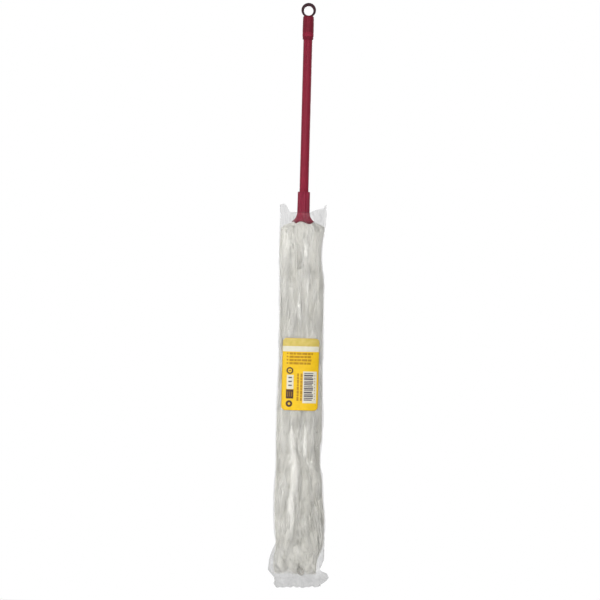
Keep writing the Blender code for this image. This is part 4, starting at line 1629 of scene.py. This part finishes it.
@dataclass(frozen=True)
class FilmSleeve:
    """The clear sleeve: a loose tube of thin film, open at the mouth and crumpled at its weld."""

    head: Head
    columns: int = 150
    rows: int = 314
    wall: float = 0.00010
    mouth_blend: float = 0.026
    foot_blend: float = 0.007
    foot_lift: float = 0.0012
    crumple_seed: int = 131
    least_relief: float = -0.0008
    ridge_fade: float = 0.012
    # How the ridges' painted highlights fade at their ends and how far they spread.
    highlight_fade: float = 0.035
    highlight_spread: float = 1.3
    ridges: tuple[Ridge, ...] = (
        Ridge(0.0048, -0.2400, -0.2990, 0.0011, 0.0017, 0.0010, 0.6),
        Ridge(0.0068, -0.2760, -0.3560, 0.0008, 0.0015, 0.0010, 2.1),
        Ridge(-0.0022, -0.2860, -0.3640, 0.0011, 0.0016, 0.0011, 1.0),
        Ridge(0.0005, -0.2420, -0.3120, 0.0007, 0.0014, 0.0014, 3.0),
        Ridge(-0.0078, -0.4500, -0.5860, 0.0013, 0.0024, 0.0011, 0.2, 1.0),
        Ridge(-0.0020, -0.4900, -0.5800, 0.0009, 0.0016, 0.0016, 1.7, 0.3),
        Ridge(0.0062, -0.4480, -0.5100, 0.0010, 0.0014, 0.0010, 0.9, 0.8),
        Ridge(0.0105, -0.5100, -0.6050, 0.0008, 0.0018, 0.0014, 2.6, 0.0),
        Ridge(-0.0150, -0.2600, -0.3500, 0.0006, 0.0020, 0.0012, 2.0, 0.0),
        Ridge(0.0140, -0.3900, -0.5000, 0.0007, 0.0018, 0.0014, 0.4, 0.2),
    )
    # How high the mouth's edge stands at shares of the half width, left and right.
    left_rise: tuple[Span, ...] = (
        (0.0, 0.0), (0.55, 0.02), (0.61, 0.14), (0.67, 0.50), (0.72, 0.80), (0.79, 0.96), (0.9, 1.0), (1.0, 0.90),
    )
    right_rise: tuple[Span, ...] = (
        (0.0, 0.0), (0.28, 0.04), (0.42, 0.22), (0.62, 0.40), (0.83, 0.54), (0.87, 0.64), (0.90, 0.97), (1.0, 1.0),
    )

    def build(self) -> None:
        """Makes the sleeve."""
        heights = np.linspace(self.head.mouth, self.head.foot + self.foot_lift, self.rows)
        turns = np.arange(self.columns) * math.tau / self.columns
        z = np.repeat(heights[:, None], self.columns, axis=1)
        turn = np.repeat(turns[None, :], self.rows, axis=0)
        places = self.surface(turn, z)
        relief, crease, painted_highlight = self._relief(places, turn)
        outward = np.stack([np.cos(turn) * 0.5, np.sin(turn), np.zeros_like(turn)], axis=-1)
        outward /= np.linalg.norm(outward, axis=-1, keepdims=True)
        places = self._crumpled(places + outward * relief[..., None])
        places[..., 2] += self._mouth_rise(turn, z) + self._foot_rise(turn, z)
        mesh = bpy.data.meshes.new("film_sleeve")
        mesh.from_pydata(places.reshape(-1, 3).tolist(), [], self._faces())
        # The second attribute carries the painted highlight.
        for name, values in (("film_crease", crease), ("film_painted_highlight", painted_highlight)):
            carried = mesh.attributes.new(name, "FLOAT", "POINT")
            carried.data.foreach_set("value", np.clip(values, 0, 1).astype(np.float32).ravel())
        self._point_outwards(mesh)
        mesh.shade_smooth()
        film = add_piece("film_sleeve", mesh, ClearFilm().build())
        thicken(film, self.wall, -1.0)
        dress(film, Body.SLEEVE, ["sleeve_bag"])

    def _faces(self) -> list[tuple[int, ...]]:
        """The tube's faces and those that close its foot, front to back.

        Returns:
            The faces.
        """
        faces = grid_faces(self.rows, self.columns, True)
        last = (self.rows - 1) * self.columns
        for column in range(self.columns // 2):
            mirrored = (self.columns - column) % self.columns
            beside = (self.columns - column - 1) % self.columns
            corners = (last + column, last + column + 1, last + beside, last + mirrored)
            faces.append(tuple(dict.fromkeys(corners)))
        return faces

    @staticmethod
    def _point_outwards(mesh: bpy.types.Mesh) -> None:
        """Turns the faces so that they point out of the open pouch.

        Args:
            mesh: The pouch.
        """
        work = bmesh.new()
        work.from_mesh(mesh)
        bmesh.ops.recalc_face_normals(work, faces=work.faces)
        work.faces.ensure_lookup_table()
        face = work.faces[len(work.faces) // 2]
        centre = face.calc_center_median()
        if face.normal.dot(Vector((centre.x, centre.y, 0.0))) < 0:
            bmesh.ops.reverse_faces(work, faces=work.faces)
        work.to_mesh(mesh)
        work.free()

    def surface(self, turn: np.ndarray, z: np.ndarray) -> np.ndarray:
        """The film's smooth form before its creases.

        Args:
            turn: Angles round the sleeve, zero on its right and a quarter turn back at the front.
            z: Heights.

        Returns:
            The points, in an array with one more axis.
        """
        left, right, depth = self.head.halves(z)
        side, front = np.cos(turn), np.sin(turn)
        pinch = 1.0 + 0.30 * (1 - eased((self.head.mouth - z) / 0.03)) + 0.35 * eased((-0.598 - z) / 0.02)
        half = np.where(side > 0, right, left)
        y = depth * np.sign(front) * np.abs(front) ** pinch
        return np.stack([half * side + self.head.lean_at(z), y, z], axis=-1)

    def front_y(self, x: float, z: float) -> float:
        """The smooth form's front.

        Args:
            x: The place across from the handle's line.
            z: The height.

        Returns:
            Where the film is there, along Y.
        """
        left, right, depth = (float(half) for half in self.head.halves(np.float64(z)))
        from_middle = x - float(self.head.lean_at(np.float64(z)))
        share = from_middle / (right if from_middle > 0 else left)
        return -depth * math.sqrt(max(1 - share * share, 0.0))

    @staticmethod
    def _textures(places: np.ndarray) -> tuple[np.ndarray, np.ndarray, np.ndarray]:
        """Noise stretched along the sleeve, in three sizes.

        Args:
            places: The film's points.

        Returns:
            Noise for its folds, its sags and its fine creases, at each point.
        """
        made = [
            (
                noise.noise(Vector((x / 0.0105, y / 0.0105, z / 0.060))),
                noise.noise(Vector((x / 0.024 + 5.0, y / 0.024, z / 0.075))),
                noise.noise(Vector((x / 0.0045 + z * 90, y / 0.0045, z / 0.016))),
            )
            for x, y, z in places.reshape(-1, 3)
        ]
        folds, sags, fine = np.array(made).T.reshape(3, *places.shape[:-1])
        return folds, sags, fine

    def _relief(self, places: np.ndarray, turn: np.ndarray) -> tuple[np.ndarray, np.ndarray, np.ndarray]:
        """The film's creases.

        Args:
            places: The smooth form's points.
            turn: Their angles round the sleeve.

        Returns:
            How far creases lift the film, how creased it is and how much painted highlight it gets, at each point.
        """
        folds, sags, fine = self._textures(places)
        x, y, z = places[..., 0], places[..., 1], places[..., 2]
        from_middle = x - self.head.lean_at(z)
        sharp_fold = np.clip(1 - np.abs(folds) * 5.5, 0, 1) ** 1.5
        sharp_fine = np.clip(1 - np.abs(fine) * 5.0, 0, 1) ** 2
        low = eased((-0.560 - z) / 0.05)
        high = eased((z + 0.262) / 0.025)
        relief = 0.0009 * sharp_fold + 0.0011 * sags + 0.0003 * sharp_fine * (1 + 2.5 * low + high)
        weld = eased((-0.620 - z) / 0.010)
        crease = 0.26 * sharp_fold + 0.30 * sharp_fine * (0.5 + low + 0.6 * high) + 0.10 * low + 0.45 * weld
        wing = eased((-0.590 - z) / 0.012) * np.clip((np.abs(from_middle) - 0.0245) / 0.003, 0, 1)
        crease = crease + 0.30 * wing
        # Painted highlights along the chosen front ridges.
        painted_highlight = np.zeros_like(crease)
        for ridge in self.ridges:
            near = ridge.near(from_middle, z, self.ridge_fade) * (y < 0)
            relief = relief + near * ridge.height
            crease = crease + near * ridge.crease
            painted_highlight = painted_highlight + ridge.near(from_middle, z, self.highlight_fade, self.highlight_spread) * (y < 0) * ridge.painted_highlight
        edge = np.exp(-((y / 0.0011) ** 2))
        crease = crease + edge * 0.35
        calm = self._label_calm(x, y, z)
        facing = np.abs(np.sin(turn))
        relief = np.clip(relief * (1 - calm), self.least_relief, 0.0003 + 0.0019 * facing**0.7)
        touching = np.exp(-(((z - self.head.collar_foot) / 0.010) ** 2))
        relief = np.where(relief < 0, relief * (1 - touching) * (0.1 + 0.9 * facing), relief)
        return relief, crease * (1 - 0.6 * calm), painted_highlight * (1 - calm)

    @staticmethod
    def _label_calm(x: np.ndarray, y: np.ndarray, z: np.ndarray) -> np.ndarray:
        """How far the sticker holds the film smooth.

        Args:
            x: The points' places across.
            y: Their places in depth.
            z: Their heights.

        Returns:
            One under the sticker, and zero away from it.
        """
        low, high = BOXES["label"]
        inside_x = eased((x - low.x) / 0.004 + 1) * eased((high.x - x) / 0.004 + 1)
        inside_z = eased((z - low.z) / 0.008 + 1) * eased((high.z - z) / 0.008 + 1)
        return inside_x * inside_z * (y < 0)

    def _crumpled(self, places: np.ndarray) -> np.ndarray:
        """The points with the foot crumpled, both layers alike.

        Args:
            places: The points.

        Returns:
            The points, moved.
        """
        noise.seed_set(self.crumple_seed)
        moved = places.copy()
        flat = moved.reshape(-1, 3)
        share = eased((-0.600 - flat[:, 2]) / 0.030)
        weld = eased((-0.624 - flat[:, 2]) / 0.008)
        for index in np.nonzero(share > 0)[0]:
            x, y, z = flat[index]
            broad = noise.noise_vector(Vector((x / 0.013, y / 0.04 + 3.0, z / 0.011)))
            small = noise.noise_vector(Vector((x / 0.005, y / 0.02 + 7.0, z / 0.0045)))
            depth = 0.0014 + 0.0040 * weld[index]
            flat[index, 0] += share[index] * (0.0014 * broad.x + 0.0007 * small.x)
            flat[index, 1] += share[index] * depth * (broad.y + 0.3 * small.y)
            flat[index, 2] += share[index] * (0.0022 * broad.z + 0.0009 * small.z)
        return moved

    def _mouth_rise(self, turn: np.ndarray, z: np.ndarray) -> np.ndarray:
        """How far the mouth's edge and the film just below it are drawn up.

        Args:
            turn: The points' angles round the sleeve.
            z: Their heights.

        Returns:
            The rise at each.
        """
        side = np.cos(turn)
        left = np.interp(-side, *zip(*self.left_rise))
        right = np.interp(side, *zip(*self.right_rise))
        rise = np.where(side > 0, right, left) * self.head.corner_rise
        ripple = 0.0004 * np.sin(turn * 7.0 + 0.5) + 0.0003 * np.sin(turn * 17.0)
        return (rise + ripple) * (1 - eased((self.head.mouth - z) / self.mouth_blend))

    def _foot_rise(self, turn: np.ndarray, z: np.ndarray) -> np.ndarray:
        """How far the welded edge is drawn up at its corners and between them.

        Args:
            turn: The points' angles round the sleeve.
            z: Their heights.

        Returns:
            The rise at each.
        """
        side = np.cos(turn)
        corner = eased((np.abs(side) - 0.86) / 0.14) * 0.0022
        scallop = 0.0006 * np.sin(side * 9.0 + 0.7) + 0.0005 * np.sin(side * 23.0) + 0.0009 * eased(side)
        return (corner + scallop) * (1 - eased((z - self.head.foot) / self.foot_blend))


class Ink(Enum):
    """The sticker's printed colours."""

    PALE = "pale"
    WHITE = "white"
    OCHRE = "ochre"
    BROWN = "brown"
    GREY = "grey"


@dataclass(frozen=True)
class Mark:
    """A printed rectangle on the sticker, in millimetres from its top left corner."""

    ink: Ink
    left: float
    top: float
    right: float
    foot: float
    layer: int = 1


@dataclass(frozen=True)
class Round:
    """A printed ring on the sticker: its middle in millimetres from the top left corner, and its radii."""

    ink: Ink
    across: float
    down: float
    outer: float
    inner: float


@dataclass
class Print:
    """The points and faces of one ink's marks."""

    points: list[Point] = field(default_factory=list)
    faces: list[tuple[int, ...]] = field(default_factory=list)

    def add(self, points: Sequence[Point], columns: int, wrap: bool) -> None:
        """Adds a grid of points, turned to face outwards.

        Args:
            points: A rectangle's points row by row downwards, or a ring's inwards.
            columns: How many points a row has.
            wrap: Whether it is a ring, whose rows close on themselves.
        """
        first = len(self.points)
        self.points += points
        for face in grid_faces(len(points) // columns, columns, wrap):
            self.faces.append(tuple(first + corner for corner in (face if wrap else reversed(face))))


@dataclass(frozen=True)
class Sticker:
    """The yellow sticker on the sleeve's front, with plain generic marks and no words."""

    sleeve: FilmSleeve
    width: float = 0.0402
    height: float = 0.0800
    corner: float = 0.0046
    thickness: float = 0.00018
    lift: float = 0.00046
    ink_lift: float = 0.000035
    ink_thickness: float = 0.00002
    middle: float = -0.0008
    turn: float = 0.0122
    slope_step: float = 0.0004
    wave_height: float = 0.00022
    columns: int = 40
    rows: int = 70
    ring_steps: int = 40
    paper: PrintedPaper = PrintedPaper("yellow_sticker", (0.71, 0.455, 0.010), (0.67, 0.415, 0.008), 0.45)
    inks: tuple[tuple[Ink, PrintedPaper], ...] = (
        (Ink.PALE, PrintedPaper("pale_ink", (0.56, 0.44, 0.125), (0.50, 0.39, 0.085))),
        (Ink.WHITE, PrintedPaper("white_ink", (0.61, 0.59, 0.50), (0.58, 0.56, 0.45))),
        (Ink.OCHRE, PrintedPaper("ochre_ink", (0.40, 0.205, 0.004), (0.35, 0.18, 0.003))),
        (Ink.BROWN, PrintedPaper("brown_ink", (0.056, 0.025, 0.017), (0.046, 0.020, 0.013))),
        (Ink.GREY, PrintedPaper("grey_ink", (0.11, 0.095, 0.11), (0.09, 0.075, 0.09))),
    )
    panels: tuple[Mark, ...] = (
        Mark(Ink.PALE, 0.3, 0.3, 39.9, 8.9),
        Mark(Ink.WHITE, 0.3, 8.9, 39.9, 14.8),
        Mark(Ink.WHITE, 5.4, 40.8, 12.8, 56.4),
        Mark(Ink.BROWN, 4.9, 56.9, 13.0, 67.0),
        Mark(Ink.WHITE, 23.2, 36.7, 38.0, 71.7),
    )
    rounds: tuple[Round, ...] = (Round(Ink.BROWN, 8.6, 36.0, 3.8, 2.2), Round(Ink.BROWN, 8.5, 72.7, 3.7, 1.4))

    def place(self, across: float, down: float, proud: float) -> Point:
        """A point of the sticker.

        Args:
            across: Distance from its left edge.
            down: Distance from its top edge.
            proud: Distance out of the sleeve's smooth front.

        Returns:
            The point.
        """
        z = BOXES["label"][1].z - down
        x = self.middle - self.turn * (down - self.height / 2) + across - self.width / 2
        x += float(self.sleeve.head.lean_at(np.float64(z)))
        step = self.slope_step
        slope = (self.sleeve.front_y(x + step, z) - self.sleeve.front_y(x - step, z)) / (2 * step)
        normal = Vector((slope, -1.0, 0.0)).normalized()
        swell = math.sin(across / self.width * math.pi)
        wave = self.wave_height * math.sin(down / 0.0105 + across / 0.02) * swell
        return tuple(Vector((x, self.sleeve.front_y(x, z), z)) + normal * (proud + wave + self.lift))

    def build(self) -> None:
        """Makes the sticker and its print."""
        self._stock()
        marks = [*self.panels, *self._lines(), *self._side_lines(), *self._bars(), *self._small_marks()]
        for ink, finish in self.inks:
            made = Print()
            for mark in marks:
                if mark.ink is ink:
                    self._add_mark(mark, made)
            for ring in self.rounds:
                if ring.ink is ink:
                    self._add_ring(ring, made)
            name = f"sticker_{ink.value}"
            mesh = bpy.data.meshes.new(name)
            mesh.from_pydata(made.points, [], made.faces)
            piece = add_piece(name, mesh, finish.build())
            thicken(piece, self.ink_thickness, 1.0)
            dress(piece, Body.SLEEVE)

    def _stock(self) -> None:
        """The sticker's paper, with round corners."""
        places = []
        for down in (self.height * row / self.rows for row in range(self.rows + 1)):
            for across in (self.width * column / self.columns for column in range(self.columns + 1)):
                places.append(self.place(*self._cornered(across, down), 0.0))
        mesh = bpy.data.meshes.new("sticker")
        faces = grid_faces(self.rows + 1, self.columns + 1, False)
        mesh.from_pydata(places, [], [tuple(reversed(face)) for face in faces])
        mesh.shade_smooth()
        paper = add_piece("sticker", mesh, self.paper.build())
        thicken(paper, self.thickness, -1.0)
        dress(paper, Body.SLEEVE, ["label"])

    def _cornered(self, across: float, down: float) -> Span:
        """A place of the grid drawn in where a round corner cuts it.

        Args:
            across: Its distance from the left edge.
            down: Its distance from the top edge.

        Returns:
            The place's new distances.
        """
        from_side = min(across, self.width - across)
        from_end = min(down, self.height - down)
        if from_side >= self.corner or from_end >= self.corner:
            return across, down
        u = 1 - from_side / self.corner
        v = 1 - from_end / self.corner
        reach = max(u, v) / math.hypot(u, v) if u + v > 0 else 1.0
        new_side = self.corner * (1 - u * reach)
        new_end = self.corner * (1 - v * reach)
        new_across = new_side if across < self.width / 2 else self.width - new_side
        return new_across, (new_end if down < self.height / 2 else self.height - new_end)

    def _add_mark(self, mark: Mark, made: Print, wide: float = 1.2, tall: float = 2.0) -> None:
        """Adds a rectangle that follows the sticker's surface.

        Args:
            mark: The rectangle.
            made: The ink's print so far.
            wide: The greatest width of its faces, in millimetres.
            tall: Their greatest height, in millimetres.
        """
        columns = max(2, math.ceil((mark.right - mark.left) / wide))
        rows = max(2, math.ceil((mark.foot - mark.top) / tall))
        points = []
        for row in range(rows + 1):
            down = (mark.top + (mark.foot - mark.top) * row / rows) / 1000
            for column in range(columns + 1):
                across = (mark.left + (mark.right - mark.left) * column / columns) / 1000
                points.append(self.place(*self._cornered(across, down), self.ink_lift * mark.layer))
        made.add(points, columns + 1, False)

    def _add_ring(self, ring: Round, made: Print) -> None:
        """Adds a flat ring that follows the sticker's surface.

        Args:
            ring: The ring.
            made: The ink's print so far.
        """
        points = []
        for radius in (ring.outer, (ring.outer + ring.inner) / 2, ring.inner):
            for turn in (math.tau * step / self.ring_steps for step in range(self.ring_steps)):
                across = (ring.across + radius * math.cos(turn)) / 1000
                down = (ring.down + radius * math.sin(turn)) / 1000
                points.append(self.place(across, down, self.ink_lift))
        made.add(points, self.ring_steps, True)

    @staticmethod
    def _lines() -> list[Mark]:
        """Four lines of dashes that stand for small print, each behind a small square.

        Returns:
            The marks.
        """
        marks = []
        for line in range(4):
            top = 15.9 + 3.6 * line
            marks.append(Mark(Ink.OCHRE, 4.8, top + 0.2, 6.6, top + 1.9))
            left, end = 7.9, 33.4 - 2.2 * (line % 2)
            for word in range(7):
                wide = 2.6 + 3.4 * math.sin(2.3 * word + 1.7 * line + 0.6) ** 2
                right = min(left + wide, end)
                if right - left < 1.2:
                    break
                marks.append(Mark(Ink.OCHRE, left, top, right, top + 2.4))
                left = right + 0.65
        return marks

    @staticmethod
    def _side_lines() -> list[Mark]:
        """Two upright lines of dashes beside the bars.

        Returns:
            The marks.
        """
        marks = []
        for left in (16.6, 20.4):
            top = 39.0
            for word in range(12):
                tall = 2.0 + 2.4 * math.sin(1.9 * word + left) ** 2
                marks.append(Mark(Ink.OCHRE, left, top, left + 2.2, top + tall))
                top += tall + 0.6
                if top > 66.0:
                    break
        return marks

    @staticmethod
    def _bars() -> list[Mark]:
        """A stack of uneven bars on the white panel, and a row of dots beside it.

        Returns:
            The marks.
        """
        marks = []
        top, foot = 38.2, 70.6
        for bar in range(24):
            tall = 0.85 + 1.05 * math.sin(1.37 * bar + 0.4) ** 2
            if top + tall > foot:
                break
            marks.append(Mark(Ink.GREY, 24.4, top, 34.4 - 1.1 * (bar % 4 == 2), top + tall, 2))
            top += tall + (0.50 + 0.45 * math.cos(2.11 * bar) ** 2)
        marks += [Mark(Ink.OCHRE, 35.7, 40.4 + 3.3 * dot, 36.4, 41.9 + 3.3 * dot, 2) for dot in range(9)]
        return marks

    @staticmethod
    def _small_marks() -> list[Mark]:
        """Little blocks in the upper ring, on the upright white panel and on the brown block.

        Returns:
            The marks.
        """
        marks = [Mark(Ink.BROWN, 7.4, 35.5, 9.8, 36.5)]
        marks += [Mark(Ink.GREY, 7.2, 43.0 + 4.3 * row, 11.0, 44.6 + 4.3 * row, 2) for row in range(3)]
        marks += [Mark(Ink.OCHRE, 6.6 + 2.2 * column, 59.4, 7.1 + 2.2 * column, 64.8, 2) for column in range(3)]
        return marks


def main() -> None:
    """Builds the studio and each part of the duster in order."""
    logging.basicConfig(level=logging.INFO, format="%(name)s: %(message)s")
    head = Head()
    sleeve = FilmSleeve(head)
    for part in (Studio(), Handle(), Collar(), WireCore(head), FibrePile(head), sleeve, Sticker(sleeve)):
        part.build()


if __name__ == "__main__":
    main()
